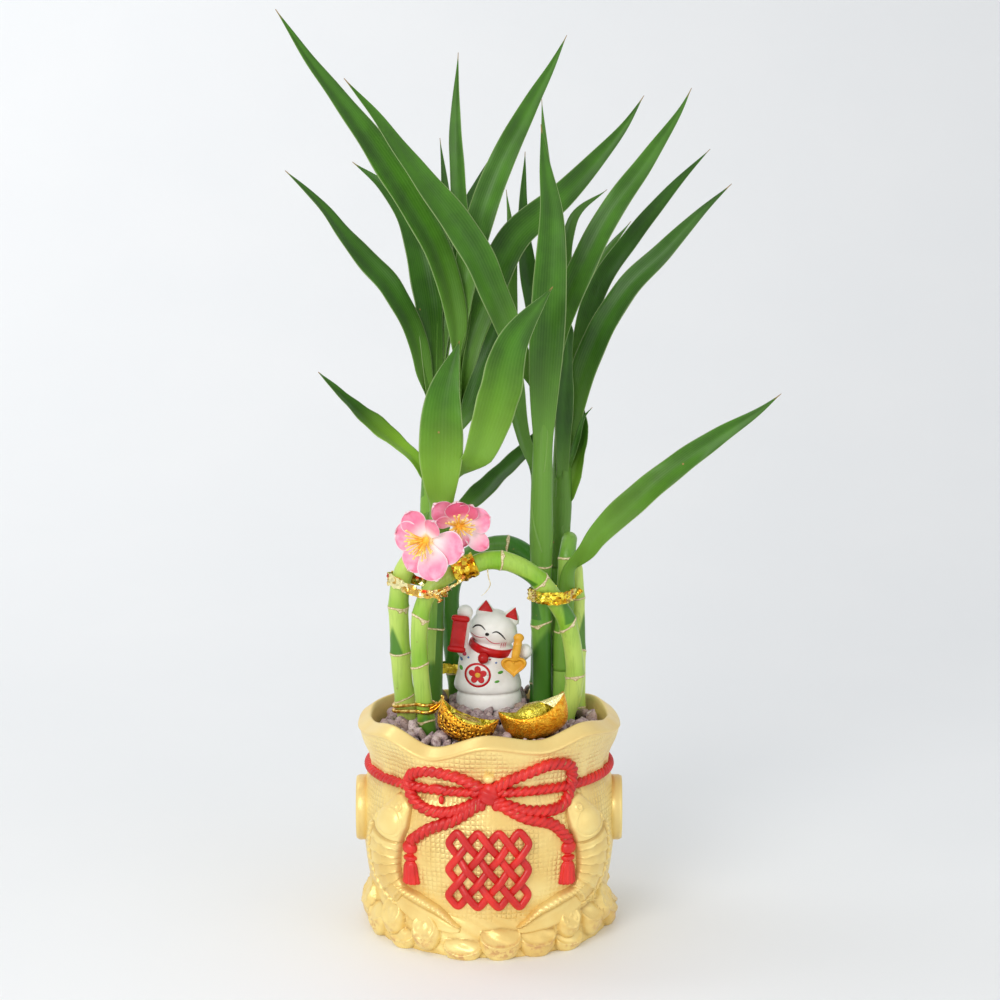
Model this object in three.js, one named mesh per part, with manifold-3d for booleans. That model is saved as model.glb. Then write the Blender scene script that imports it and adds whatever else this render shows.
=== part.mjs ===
// Lucky bamboo: bare and leafy canes tied in two arches, standing in gravel in a gold pot that is shaped
// as a tied sack, with two silk blossoms, a beckoning cat and two ingots.
// Millimetres. X is to the right, Y away from the viewer, Z up; the origin is the middle of the pot's foot.
import * as THREE from 'three';
import { mergeVertices } from 'three/addons/utils/BufferGeometryUtils.js';
import Module from 'manifold-3d';

// Driving dimensions
const POT_HEIGHT = 98;
const POT_FLOOR = 8;
const CAVITY_RADIUS = 50.5;
const MOUTH_RADIUS = 55;
const CAVITY_SHOULDER = 86;
const POT_SIDES = 32;
const CLEARANCE = 0.3;
const BED_LEVEL = 91.8;
const BED_SLOPE = 0.04;
const STALK_DEPTH = 34;
const CANE_SIDES = 8;
const CANE_STEP = 11;
const STEM_SIDES = 7;
const STEM_STEP = 21;
const BLADE_STEP = 29;
const BLADE_THICKNESS = 0.7;
const STONES = 23;
const SEED = 7;

// Outer profile of the pot's wall, height and radius
const POT_PROFILE = [[0, 53.5], [5, 54.6], [12, 54.4], [18, 54.6], [28, 56.4], [44, 58], [58, 58.2],
  [68, 56.6], [74, 54.9], [81, 55.4], [87, 58], [92, 59.4], [98, 59.4]];

// Height of the lip round the pot, as degrees from the front and millimetres: the folds of the sack's mouth
const LIP_WAVE = [[-180, 95], [-152, 96], [-128, 98.6], [-106, 98.8], [-90, 97.4], [-72, 98], [-50, 101],
  [-27, 94.4], [0, 101.5], [24, 98], [46, 103], [74, 98.8], [90, 97.4], [116, 99.2], [150, 96]];

// Materials
const FINISH = {
  pot: new THREE.MeshStandardMaterial({ color: 0xdfb768, roughness: 0.5, metalness: 0.25 }),
  gravel: new THREE.MeshStandardMaterial({ color: 0xa8949a, roughness: 0.95, metalness: 0 }),
  cane: new THREE.MeshStandardMaterial({ color: 0x9cc14b, roughness: 0.4, metalness: 0 }),
  leaf: new THREE.MeshStandardMaterial({ color: 0x4a8a2c, roughness: 0.45, metalness: 0 }),
  foil: new THREE.MeshStandardMaterial({ color: 0xe8b72c, roughness: 0.25, metalness: 1 }),
  petal: new THREE.MeshStandardMaterial({ color: 0xf490b4, roughness: 0.7, metalness: 0 }),
  stamen: new THREE.MeshStandardMaterial({ color: 0xf6c83c, roughness: 0.6, metalness: 0 }),
  figure: new THREE.MeshStandardMaterial({ color: 0xf1efec, roughness: 0.4, metalness: 0 }),
  red: new THREE.MeshStandardMaterial({ color: 0xd8222f, roughness: 0.4, metalness: 0 }),
  charm: new THREE.MeshStandardMaterial({ color: 0xe9b348, roughness: 0.45, metalness: 0.3 }),
  ingot: new THREE.MeshStandardMaterial({ color: 0xd9a019, roughness: 0.25, metalness: 1 }),
};

const wasm = await Module();
wasm.setup();

const vec = (x, y, z) => new THREE.Vector3(x, y, z);
const curveThrough = (points) => new THREE.CatmullRomCurve3(points.map((p) => vec(...p)), false, 'centripetal');

// Solids

function geometryOf(points, triangles) {
  const geometry = new THREE.BufferGeometry();
  geometry.setAttribute('position', new THREE.Float32BufferAttribute(points.flatMap((p) => [p.x, p.y, p.z]), 3));
  const faces = facesOutward(points, triangles) ? triangles : triangles.map(([a, b, c]) => [a, c, b]);
  geometry.setIndex(faces.flat());
  return geometry;
}

function facesOutward(points, triangles) {
  let volume = 0;
  for (const [a, b, c] of triangles) {
    volume += points[a].dot(points[b].clone().cross(points[c]));
  }
  return volume > 0;
}

// Closed body through rings of equally many points; it ends in flat caps, or joins its last ring to its first
function loft(rings, isLoop = false) {
  const sides = rings[0].length;
  const points = rings.flat();
  const triangles = [];
  const spans = isLoop ? rings.length : rings.length - 1;
  for (let i = 0; i < spans; i++) {
    for (let j = 0; j < sides; j++) {
      const a = i * sides + j;
      const b = i * sides + ((j + 1) % sides);
      const c = ((i + 1) % rings.length) * sides + ((j + 1) % sides);
      const d = ((i + 1) % rings.length) * sides + j;
      triangles.push([a, b, c], [a, c, d]);
    }
  }
  if (!isLoop) {
    closeEnd(points, triangles, 0, sides, true);
    closeEnd(points, triangles, (rings.length - 1) * sides, sides, false);
  }
  return geometryOf(points, triangles);
}

function closeEnd(points, triangles, first, sides, isStart) {
  const middle = vec(0, 0, 0);
  for (let j = 0; j < sides; j++) {
    middle.addScaledVector(points[first + j], 1 / sides);
  }
  points.push(middle);
  for (let j = 0; j < sides; j++) {
    const a = first + j;
    const b = first + ((j + 1) % sides);
    triangles.push(isStart ? [b, a, points.length - 1] : [a, b, points.length - 1]);
  }
}

// Thin body between two grids of points, split into the same triangles on both faces
function sheet(top, bottom) {
  const rows = top.length;
  const columns = top[0].length;
  const points = [...top.flat(), ...bottom.flat()];
  const under = rows * columns;
  const triangles = [];
  for (let i = 0; i < rows - 1; i++) {
    for (let j = 0; j < columns - 1; j++) {
      const a = i * columns + j;
      const b = a + columns;
      triangles.push([a, b, b + 1], [a, b + 1, a + 1]);
      triangles.push([under + a, under + b + 1, under + b], [under + a, under + a + 1, under + b + 1]);
    }
  }
  const edge = [];
  for (let j = 0; j < columns; j++) edge.push(j);
  for (let i = 1; i < rows; i++) edge.push(i * columns + columns - 1);
  for (let j = columns - 2; j >= 0; j--) edge.push((rows - 1) * columns + j);
  for (let i = rows - 2; i > 0; i--) edge.push(i * columns);
  edge.forEach((a, k) => {
    const b = edge[(k + 1) % edge.length];
    triangles.push([a, b, under + b], [a, under + b, under + a]);
  });
  return geometryOf(points, triangles);
}

function solidOf(geometry) {
  const bare = geometry.clone();
  bare.deleteAttribute('normal');
  bare.deleteAttribute('uv');
  const merged = mergeVertices(bare, 1e-3);
  return new wasm.Manifold(new wasm.Mesh({
    numProp: 3,
    vertProperties: new Float32Array(merged.attributes.position.array),
    triVerts: new Uint32Array(merged.index.array),
  }));
}

function geometryFrom(solid) {
  const mesh = solid.getMesh();
  const geometry = new THREE.BufferGeometry();
  geometry.setAttribute('position', new THREE.BufferAttribute(new Float32Array(mesh.vertProperties), 3));
  geometry.setIndex(new THREE.BufferAttribute(new Uint32Array(mesh.triVerts), 1));
  return geometry;
}

// The largest body of a solid; loose scraps that a cut leaves are dropped
function mainBody(solid) {
  return solid.decompose().reduce((best, next) => (next.volume() > best.volume() ? next : best));
}

function fuse(geometries) {
  return geometryFrom(mainBody(geometries.map(solidOf).reduce((whole, next) => whole.add(next))));
}

function carve(geometry, cutters) {
  const whole = solidOf(geometry);
  return geometryFrom(mainBody(cutters.map(solidOf).reduce((rest, next) => rest.subtract(next), whole)));
}

function placed(geometry, position, turns = [0, 0, 0], scale = [1, 1, 1]) {
  const matrix = new THREE.Matrix4().compose(
    vec(...position),
    new THREE.Quaternion().setFromEuler(new THREE.Euler(...turns.map(THREE.MathUtils.degToRad))),
    vec(...scale),
  );
  return geometry.clone().applyMatrix4(matrix);
}

const ellipsoid = (centre, size, turns, across = 10, down = 7) =>
  placed(new THREE.SphereGeometry(1, across, down), centre, turns, size);

// Round body along a curve; radiusAt takes the share of its length
function rod(curve, radiusAt, steps, sides = CANE_SIDES) {
  const frames = curve.computeFrenetFrames(steps);
  const rings = [];
  for (let i = 0; i <= steps; i++) {
    const share = i / steps;
    const centre = curve.getPointAt(share);
    const radius = radiusAt(share);
    rings.push(Array.from({ length: sides }, (_, j) => {
      const turn = (j / sides) * 2 * Math.PI;
      return centre.clone()
        .addScaledVector(frames.normals[i], radius * Math.cos(turn))
        .addScaledVector(frames.binormals[i], radius * Math.sin(turn));
    }));
  }
  return loft(rings);
}

function seededRandom(seed) {
  let state = seed;
  return () => {
    state = (state * 1664525 + 1013904223) % 4294967296;
    return state / 4294967296;
  };
}

// Value read off a list of [place, value] pairs with an eased step between neighbours
function eased(pairs, place) {
  const next = pairs.findIndex(([at]) => at >= place);
  if (next === 0) return pairs[0][1];
  if (next < 0) return pairs[pairs.length - 1][1];
  const [a, from] = pairs[next - 1];
  const [b, to] = pairs[next];
  const share = (place - a) / (b - a);
  return from + (to - from) * share * share * (3 - 2 * share);
}

const smooth = (from, to, value) => THREE.MathUtils.smoothstep(value, from, to);

const bedHeight = (y) => BED_LEVEL + BED_SLOPE * y;

// Pot

const potProfile = new THREE.CatmullRomCurve3(POT_PROFILE.map(([z, r]) => vec(r, 0, z)), false, 'centripetal');
const profileTable = potProfile.getPoints(120);

function potRadius(z) {
  const next = profileTable.findIndex((p) => p.z >= z);
  if (next <= 0) return next < 0 ? profileTable[profileTable.length - 1].x : profileTable[0].x;
  const a = profileTable[next - 1];
  const b = profileTable[next];
  return a.x + ((b.x - a.x) * (z - a.z)) / (b.z - a.z);
}

const lipHeight = (degrees) => eased([...LIP_WAVE, [180, LIP_WAVE[0][1]]], degrees);

// Point on the pot's outside, by degrees from the front, height and how far it stands proud
function onPot(degrees, z, proud = 0) {
  const turn = THREE.MathUtils.degToRad(degrees);
  const radius = potRadius(z) + proud;
  return vec(radius * Math.sin(turn), -radius * Math.cos(turn), z);
}

function potNormal(degrees, z) {
  const turn = THREE.MathUtils.degToRad(degrees);
  const slope = potRadius(z + 1) - potRadius(z - 1);
  return vec(Math.sin(turn), -Math.cos(turn), -slope / 2).normalize();
}

function potWall() {
  const outer = [0, 6, 16, 30, 46, 58, 68, 75, 82, 90];
  const rings = [];
  const ring = (radiusAt, heightAt) => {
    rings.push(Array.from({ length: POT_SIDES }, (_, j) => {
      const degrees = -180 + (360 * j) / POT_SIDES;
      const turn = THREE.MathUtils.degToRad(degrees);
      const radius = radiusAt(degrees);
      return vec(radius * Math.sin(turn), -radius * Math.cos(turn), heightAt(degrees));
    }));
  };
  const flare = (degrees) => 0.35 * (lipHeight(degrees) - POT_HEIGHT);
  outer.forEach((z) => ring(
    (degrees) => potRadius(z) + flare(degrees) * smooth(78, 98, z),
    (degrees) => z + (lipHeight(degrees) - POT_HEIGHT) * smooth(60, 98, z),
  ));
  ring((degrees) => potRadius(POT_HEIGHT) + flare(degrees) + 0.4, (degrees) => lipHeight(degrees) - 1.4);
  ring((degrees) => potRadius(POT_HEIGHT) + flare(degrees) - 1.2, lipHeight);
  ring((degrees) => MOUTH_RADIUS + flare(degrees) + 0.8, (degrees) => lipHeight(degrees) - 0.4);
  ring((degrees) => MOUTH_RADIUS + flare(degrees) - 0.4, (degrees) => lipHeight(degrees) - 3);
  ring(() => CAVITY_RADIUS, () => CAVITY_SHOULDER);
  ring(() => CAVITY_RADIUS, () => POT_FLOOR);
  return loft(rings);
}

// Raised band on the pot through [degrees, height, half width, rise]
function relief(stops, steps, sides) {
  const course = new THREE.CatmullRomCurve3(stops.map(([d, z]) => vec(d, 0, z)), false, 'centripetal');
  const shape = new THREE.CatmullRomCurve3(stops.map(([, , w, h]) => vec(w, h, 0)), false, 'centripetal');
  const at = (i) => course.getPoint(i / steps);
  const rings = [];
  for (let i = 0; i <= steps; i++) {
    const here = at(i);
    const before = at(Math.max(i - 1, 0));
    const after = at(Math.min(i + 1, steps));
    const along = onPot(after.x, after.z).sub(onPot(before.x, before.z)).normalize();
    const normal = potNormal(here.x, here.z);
    const side = along.clone().cross(normal).normalize();
    const { x: halfWidth, y: rise } = shape.getPoint(i / steps);
    rings.push(Array.from({ length: sides }, (_, j) => {
      const turn = (j / sides + 0.25) * 2 * Math.PI;
      const up = Math.sin(turn);
      return onPot(here.x, here.z)
        .addScaledVector(side, halfWidth * Math.cos(turn))
        .addScaledVector(normal, up > 0 ? rise * up : 1.6 * up);
    }));
  }
  return loft(rings);
}

const ROPE = [2.3, 2.4];

// Half of the rope round the neck, from the front to the back
function neckRope(side) {
  const stops = Array.from({ length: 7 }, (_, i) => {
    const degrees = side * (-1 + (i * 182) / 6);
    return [degrees, 74.4 + 1.2 * Math.cos(THREE.MathUtils.degToRad(degrees)), ...ROPE];
  });
  return relief(stops, 10, 4);
}

function bowLoop(side) {
  const stops = side < 0
    ? [[-3, 77.5], [-16, 83], [-30, 83], [-39, 76], [-32, 67.5], [-18, 66.5], [-3, 72]]
    : [[3, 77.5], [16, 84], [29, 87.5], [41, 79], [36, 67], [19, 67], [3, 72]];
  return relief(stops.map((p) => [...p, ...ROPE]), 13, 4);
}

function bowTail(side) {
  const stops = side < 0
    ? [[-3, 72], [-15, 63], [-27, 58], [-35, 52]]
    : [[3, 72], [16, 64.5], [29, 60], [37, 52]];
  return relief(stops.map((p) => [...p, ...ROPE]), 5, 4);
}

function tassel(side) {
  const middle = side < 0 ? -36.5 : 37;
  return relief([[middle, 51.5, 2, 1.6], [middle, 48, 4, 3], [middle, 44.5, 2.6, 2], [middle, 42, 3.6, 2.6],
    [middle, 32, 4.2, 2.4]], 5, 5);
}

// Endless knot of one rope that runs to and fro between the sides of an upright field and weaves a lattice
const KNOT = {
  middle: 41, halfWidth: 18, halfHeight: 18, across: 3, down: 4, halfRope: 1.8, rise: 2, steps: 48,
};

const zigzag = (turns) => 4 * Math.abs((turns % 1) - 0.5) - 1;

// One pass of the knot's rope across the field
function knotPass(pass) {
  const steps = KNOT.steps / (2 * KNOT.across);
  return relief(Array.from({ length: steps + 1 }, (_, i) => {
    const share = (pass * steps + i) / KNOT.steps;
    const x = KNOT.halfWidth * zigzag(KNOT.across * share);
    const z = KNOT.middle + KNOT.halfHeight * zigzag(KNOT.down * share + 0.75);
    return [THREE.MathUtils.radToDeg(x / potRadius(z)), z, KNOT.halfRope, KNOT.rise];
  }), steps, 3);
}

function carp(side) {
  const flip = (stops) => stops.map(([d, ...rest]) => [side * d, ...rest]);
  return [
    relief(flip([[41, 70, 3.5, 2], [44, 62, 7, 4], [50, 52, 9.5, 5], [52, 40, 9, 4.6], [49, 30, 6.5, 4],
      [40, 23.5, 4.5, 3.2]]), 7, 5),
    relief(flip([[44, 25, 4, 2.6], [32, 19, 6, 3], [17, 14, 2, 1.6]]), 3, 5),
  ];
}

// Coin that lies against the pot, its axis outward and leaned up
function coin(degrees, z, radius, lean = 25, proud = 1.5) {
  const disc = new THREE.CylinderGeometry(radius, radius, 6, radius > 10 ? 12 : 8);
  const middle = onPot(degrees, z, proud - 3);
  const turn = new THREE.Matrix4().makeRotationZ(THREE.MathUtils.degToRad(degrees))
    .multiply(new THREE.Matrix4().makeRotationX(THREE.MathUtils.degToRad(-lean)));
  return disc.applyMatrix4(turn.setPosition(middle));
}

// Boat-shaped ingot: oval rings from its foot over its rim to the dome in its middle
function ingotShape(length, width, height, dome, sides, isFine = true) {
  const fine = [[0.48, 0.56, 0, 0], [0.86, 0.93, 0.22, 0], [0.98, 1, 0.46, 0.12], [1, 0.93, 0.7, 0.33],
    [0.9, 0.74, 0.66, 0.27], [0.68, 0.66, 0.52, 0.06], [0.54, 0.56, 0.66, 0], [0.3, 0.36, dome, 0]];
  const plain = [[0.6, 0.7, 0, 0], [1, 1, 0.5, 0], [0.9, 0.8, 0.72, 0.06], [0.6, 0.6, 0.7, 0],
    [0.36, 0.4, dome, 0]];
  return loft((isFine ? fine : plain).map(([along, across, z, lift]) => Array.from({ length: sides }, (_, j) => {
    const turn = (j / sides) * 2 * Math.PI;
    const end = Math.abs(Math.cos(turn)) ** 2.5;
    return vec(
      (length / 2) * along * Math.cos(turn),
      (width / 2) * across * Math.sin(turn) * (1 - 0.3 * end),
      height * (z + lift * end),
    );
  })));
}

function footIngot(degrees, length, top) {
  const sunk = 5;
  const boat = ingotShape(length, 15, top + sunk, 0.95, 7, false);
  const middle = onPot(degrees, 4, -5.5);
  const turn = new THREE.Matrix4().makeRotationZ(THREE.MathUtils.degToRad(degrees));
  return boat.applyMatrix4(turn.setPosition(vec(middle.x, middle.y, -sunk)));
}

// Heap of coins and ingots round the foot; the kinds follow each other right round the pot
function footHeap() {
  const pieces = [];
  const front = [['ingot', 5, 19, 15], ['ingot', 24, 19, 15], ['coin', 41, 7, 12], ['ingot', 56, 16, 14],
    ['coin', 72, 8, 15], ['ingot', -13, 16, 13], ['coin', -30, 7.5, 11], ['ingot', -46, 15, 13],
    ['coin', -62, 8, 15]];
  const rear = Array.from({ length: 7 }, (_, i) => {
    const degrees = 95 + i * 28;
    return i % 2 ? ['coin', degrees, 8.5, 14] : ['ingot', degrees, 23, 14];
  });
  for (const [kind, degrees, size, high] of [...front, ...rear]) {
    pieces.push(kind === 'coin' ? coin(degrees, high, size, 20, 2) : footIngot(degrees, size, high));
  }
  return pieces;
}

function pot() {
  const sides = [-1, 1];
  const reliefs = [
    ...sides.map(neckRope),
    ...sides.map(bowLoop),
    ...sides.map(bowTail),
    ...sides.map(tassel),
    relief([[0, 79.5, 2.5, 3], [0, 75, 4.6, 4.2], [0, 70.5, 2.5, 3]], 4, 6),
    ...Array.from({ length: 2 * KNOT.across }, (_, pass) => knotPass(pass)),
    ...sides.flatMap(carp),
    ...sides.map((side) => coin(side * 88, 53, 15, 0, 3)),
    coin(180, 50, 14, 0, 2),
    ...footHeap(),
  ];
  const keel = placed(new THREE.BoxGeometry(160, 160, 20), [0, 0, -10]);
  const hollow = placed(new THREE.CylinderGeometry(CAVITY_RADIUS, CAVITY_RADIUS, 60, POT_SIDES),
    [0, 0, POT_FLOOR + 30], [90, 0, 0]);
  return carve(fuse([potWall(), ...reliefs]), [keel, hollow]);
}

// Canes and stems

const STALK_FOOT = BED_LEVEL - STALK_DEPTH;

// Radius along a cane with a low ridge at each joint; joints are shares of the length
function caneRadius(radius, joints, taper = 0) {
  return (share) => {
    const ridge = joints.reduce((most, at) => Math.max(most, 1 - Math.abs(share - at) / 0.012), 0);
    return radius * (1 - taper * share) + 0.35 * ridge;
  };
}

const CANES = {
  leftOuter: {
    path: [[-36, 6, STALK_FOOT], [-37.8, 5, 91], [-40.2, 3, 115], [-41.2, 2, 136], [-41.3, 0.5, 150],
      [-39, -1, 163], [-34, -1, 171]],
    radius: 4.5, joints: [0.42, 0.62, 0.79],
  },
  leftInner: {
    path: [[-25, -11, STALK_FOOT], [-27.7, -12, 90], [-31.4, -11, 123], [-31, -11, 144], [-28, -11, 154],
      [-22, -11, 161.5], [-14.6, -11, 165.5]],
    radius: 3.8, joints: [0.5, 0.68, 0.82],
  },
  archFront: {
    path: [[31, 7, STALK_FOOT], [35.2, 6, 93], [38.7, 5, 105], [39.5, 4, 118], [35.6, 1, 140],
      [31, -1, 148.7], [26.8, -3, 155.4], [20, -6, 163], [13, -7.5, 167.6], [6.5, -9, 170],
      [-1.5, -10, 170.2], [-12.6, -11, 166]],
    radius: 4.2, joints: [0.42, 0.56, 0.73, 0.9],
  },
  archRear: {
    path: [[-14, 43, STALK_FOOT], [-15.1, 42, 97], [-17.8, 41, 123], [-18.5, 40, 148], [-13, 40, 160],
      [-3, 40, 166.5], [4, 40, 168.5], [13, 40, 167], [20, 40.5, 161], [24, 41, 150], [24.4, 39.6, 120],
      [22.6, 39, STALK_FOOT]],
    radius: 4.1, joints: [0.2, 0.4, 0.52, 0.7, 0.82],
  },
  rightOuter: {
    path: [[41.5, 19, STALK_FOOT], [41.6, 19.5, 92], [41.8, 22, 110], [41.8, 27, 128], [41.4, 31.5, 146],
      [40.4, 32.5, 162]],
    radius: 3.4, joints: [0.35, 0.6, 0.85],
  },
};

const STEMS = {
  leftFront: {
    path: [[-25, 13, STALK_FOOT], [-26, 12, 95], [-25, 10, 140], [-22, 7, 190], [-17, 8, 230],
      [-14, 11, 275]],
    radii: [[0, 4.3], [0.55, 4.3], [0.63, 5.2], [0.8, 4.6], [1, 1.6]], joints: [0.34, 0.48],
  },
  leftRear: {
    path: [[-27, 29, STALK_FOOT], [-27.5, 28, 100], [-28, 28, 150], [-27, 28, 200], [-25, 31, 240],
      [-24, 34, 275]],
    radii: [[0, 4.1], [0.55, 4.2], [0.63, 4.8], [0.8, 4], [1, 1.4]], joints: [0.34, 0.48],
  },
  rightFront: {
    path: [[24.6, 26.6, STALK_FOOT], [25.2, 26.6, 95], [24.3, 24, 140], [24.3, 19.5, 190], [25, 18, 235],
      [27, 20, 290]],
    radii: [[0, 4.8], [0.5, 4.8], [0.6, 5.2], [0.8, 4.6], [1, 1.8]], joints: [0.3, 0.45],
  },
  rightRear: {
    path: [[31.4, 33, STALK_FOOT], [32, 34, 100], [33, 38, 150], [34, 42, 190], [35, 45, 235],
      [35, 49, 275]],
    radii: [[0, 4], [0.5, 4], [0.62, 4.4], [0.8, 4], [1, 1.6]], joints: [0.3, 0.45],
  },
  rightShort: {
    path: [[33.8, 22, STALK_FOOT], [33.8, 22, 95], [34.2, 23, 115], [34.8, 24, 132], [36, 24, 160],
      [36.8, 26, 169], [37.6, 30, 173], [38, 33.6, 172]],
    radii: [[0, 3.9], [0.8, 4.1], [1, 3.6]], joints: [0.4, 0.6, 0.86],
  },
};

function cane({ path, radius, joints }, extra = 0) {
  const radiusAt = caneRadius(radius, joints);
  const course = curveThrough(path);
  return rod(course, (share) => radiusAt(share) + extra, Math.round(course.getLength() / CANE_STEP));
}

function stem({ path, radii, joints }, extra = 0) {
  const ridge = caneRadius(0, joints);
  const course = curveThrough(path);
  const radiusAt = (share) => eased(radii, share) + ridge(share) + extra;
  return rod(course, radiusAt, Math.round(course.getLength() / STEM_STEP), STEM_SIDES);
}

// Leaves

// Width of a blade along its length, as a share of the widest: clasping foot, long belly, drawn-out tip
function bladeWidth(share) {
  const foot = 0.5 + 0.5 * smooth(0, 0.42, share);
  const tip = share < 0.45 ? 1 : (1 - ((share - 0.45) / 0.55) ** 2) ** 1.15;
  return foot * tip;
}

// Blade along path; facing is where its upper side looks, in degrees from the viewer, and twist is added
// towards the tip
function blade({ path, width, facing = 0, twist = 0, wave = 0.5, fold = 0.34, lift = 0.35, blunt = 0 }) {
  const curve = curveThrough(path);
  const steps = Math.max(5, Math.round(curve.getLength() / BLADE_STEP));
  const top = [];
  const bottom = [];
  for (let i = 0; i <= steps; i++) {
    const share = i / steps;
    const along = curve.getTangentAt(share);
    const turn = THREE.MathUtils.degToRad(facing);
    const look = vec(Math.sin(turn), -Math.cos(turn), lift);
    const normal = look.addScaledVector(along, -look.dot(along)).normalize()
      .applyAxisAngle(along, THREE.MathUtils.degToRad(twist * share));
    const side = along.clone().cross(normal).normalize();
    const half = Math.max((width / 2) * Math.max(bladeWidth(share), blunt), 0.5);
    const ripple = wave * Math.sin(share * 14) * smooth(0.15, 0.4, share);
    const row = [-1, 0, 1].map((place) => curve.getPointAt(share)
      .addScaledVector(side, half * place)
      .addScaledVector(normal, Math.abs(place) * (fold * half) + place * ripple));
    top.push(row.map((p) => p.clone().addScaledVector(normal, BLADE_THICKNESS / 2)));
    bottom.push(row.map((p) => p.clone().addScaledVector(normal, -BLADE_THICKNESS / 2)));
  }
  return sheet(top, bottom);
}

const LEAVES = {
  leftFront: [
    {
      path: [[-15, 9, 240], [-15, 9, 277], [-23, 6, 307], [-37, 2, 333], [-57, -4, 363], [-77, -12, 390],
        [-91, -22, 412]],
      width: 15, facing: 20, twist: 10,
    },
    {
      path: [[-13, 11, 245], [-11, 18, 286], [-13, 24, 328], [-15, 28, 364], [-14, 34, 397]],
      width: 9, facing: -25,
    },
    {
      path: [[-14, 11, 250], [-12, 13, 286], [-5, 14, 318], [5, 16, 346], [19, 20, 374], [28, 22, 390],
        [35, 22, 404]],
      width: 13, facing: -20, twist: 30,
    },
    {
      path: [[-16, 9, 225], [-9, 16, 265], [0, 22, 290], [12, 30, 314], [33, 36, 332], [51, 38, 351],
        [62, 38, 364], [71, 38, 378]],
      width: 15, facing: -10, twist: 25,
    },
    {
      path: [[-22, 3, 186], [-21.5, -3, 219], [-20, -6, 245], [-13, -6, 269]],
      width: 20, facing: 0, fold: 0.5,
    },
    {
      path: [[-14, 3, 200], [-4, -5, 220], [4, -10, 245], [10, -16, 268], [28, -24, 294]],
      width: 19, facing: 25, twist: -20, wave: 1,
    },
  ],
  leftRear: [
    {
      path: [[-28, 29, 225], [-33, 30, 264], [-45, 31, 289], [-62, 36, 308], [-79, 42, 329],
        [-95, 48, 344]],
      width: 12, facing: 20, twist: 20,
    },
    {
      path: [[-26, 29, 220], [-27, 34, 257], [-30, 40, 289], [-38, 46, 320], [-50, 50, 337],
        [-64, 52, 348]],
      width: 14, facing: 40, twist: -30,
    },
    {
      path: [[-25, 34, 235], [-20, 42, 284], [-20, 48, 330], [-23, 52, 359]],
      width: 7, facing: -20,
    },
    {
      path: [[-24, 34, 234], [-18, 48, 289], [-9, 58, 328], [2, 66, 353]],
      width: 12, facing: -40,
    },
    {
      path: [[-28, 27, 190], [-33, 25, 209], [-45, 28, 220], [-62, 33, 234], [-80, 38, 251]],
      width: 11, facing: 60, twist: -20,
    },
    {
      path: [[-25, 29, 176], [-9, 44, 188], [5, 55, 200], [18, 62, 212], [30, 66, 227]],
      width: 11, facing: -30,
    },
    {
      path: [[-25, 31, 215], [-12, 42, 230], [-5, 48, 247], [1, 52, 265], [7, 55, 284]],
      width: 12, facing: -20,
    },
  ],
  rightFront: [
    {
      path: [[24.5, 18, 203], [25, 12, 245], [27, 7, 286], [28, 3, 324], [25, 0, 346], [23, -3, 364]],
      width: 16, facing: 8, twist: -15,
    },
    {
      path: [[23, 19, 230], [16, 13, 252], [9, 5, 272], [2, 0, 289], [-7, -6, 309], [-20, -11, 328],
        [-36, -16, 349], [-48, -19, 366], [-62, -22, 383]],
      width: 15.5, facing: 15, twist: 15,
    },
    {
      path: [[26, 19, 226], [32, 24, 272], [42, 25, 298], [55, 26, 324], [71, 28, 347], [87, 30, 371],
        [92, 30, 381]],
      width: 13, facing: -25, twist: 20,
    },
    {
      path: [[23, 21, 195], [13, 44, 232], [9, 60, 275], [10, 70, 312], [8, 78, 335]],
      width: 10, facing: 160,
    },
  ],
  rightRear: [
    {
      path: [[34, 48, 215], [23, 58, 268], [16, 68, 316], [17, 78, 353]],
      width: 9, facing: 20,
    },
    {
      path: [[34, 48, 227], [31, 60, 283], [27, 72, 340], [25, 84, 378]],
      width: 8, facing: 170,
    },
    {
      path: [[36, 46, 218], [42, 47, 256], [51, 49, 289], [68, 53, 314], [89, 57, 339], [104, 62, 354]],
      width: 10, facing: -20, twist: 15,
    },
    {
      path: [[35.5, 44, 195], [40, 39, 231], [47, 35, 259], [63, 31, 289], [81, 30, 308], [97, 30, 325],
        [111, 30, 338]],
      width: 13, facing: -30, twist: 20,
    },
    {
      path: [[35, 50, 237], [35, 66, 283], [40, 78, 321], [57, 90, 335]],
      width: 8, facing: 150,
    },
    {
      path: [[36, 48, 227], [44, 62, 269], [53, 70, 301], [68, 78, 320]],
      width: 9, facing: 130,
    },
    {
      path: [[34, 42, 190], [34.5, 34, 229], [36, 31.5, 257], [36.5, 33, 276]],
      width: 8.5, facing: 20, blunt: 0.6,
    },
    {
      path: [[36, 43, 181], [41, 42, 204], [44.5, 42, 223], [43.5, 44, 238]],
      width: 7.5, facing: -30,
    },
    {
      path: [[36, 43, 200], [41, 37, 219], [44, 34, 230], [48, 32, 235]],
      width: 3, facing: 0,
    },
  ],
  rightShort: [
    {
      path: [[34.4, 21, 150], [36.8, 18.6, 157], [43, 13, 166.3], [50, 8, 178.4], [67.7, 2, 196.9],
        [86.1, -3, 213.2], [102.6, -8, 226.1], [120.8, -10.5, 238.3], [130, -12, 246]],
      width: 12.5, facing: -15, twist: 10,
    },
  ],
};

function leafyStalk(name) {
  return fuse([stem(STEMS[name]), ...LEAVES[name].map(blade)]);
}

// Gravel

function gravelStone(x, y, random) {
  const size = 5.8 + 2 * random();
  return placed(new THREE.BoxGeometry(size, size * (0.7 + 0.3 * random()), size * (0.7 + 0.2 * random())),
    [x, y, bedHeight(y) + 0.8 * random()], [random() * 360, random() * 360, random() * 360]);
}

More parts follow.
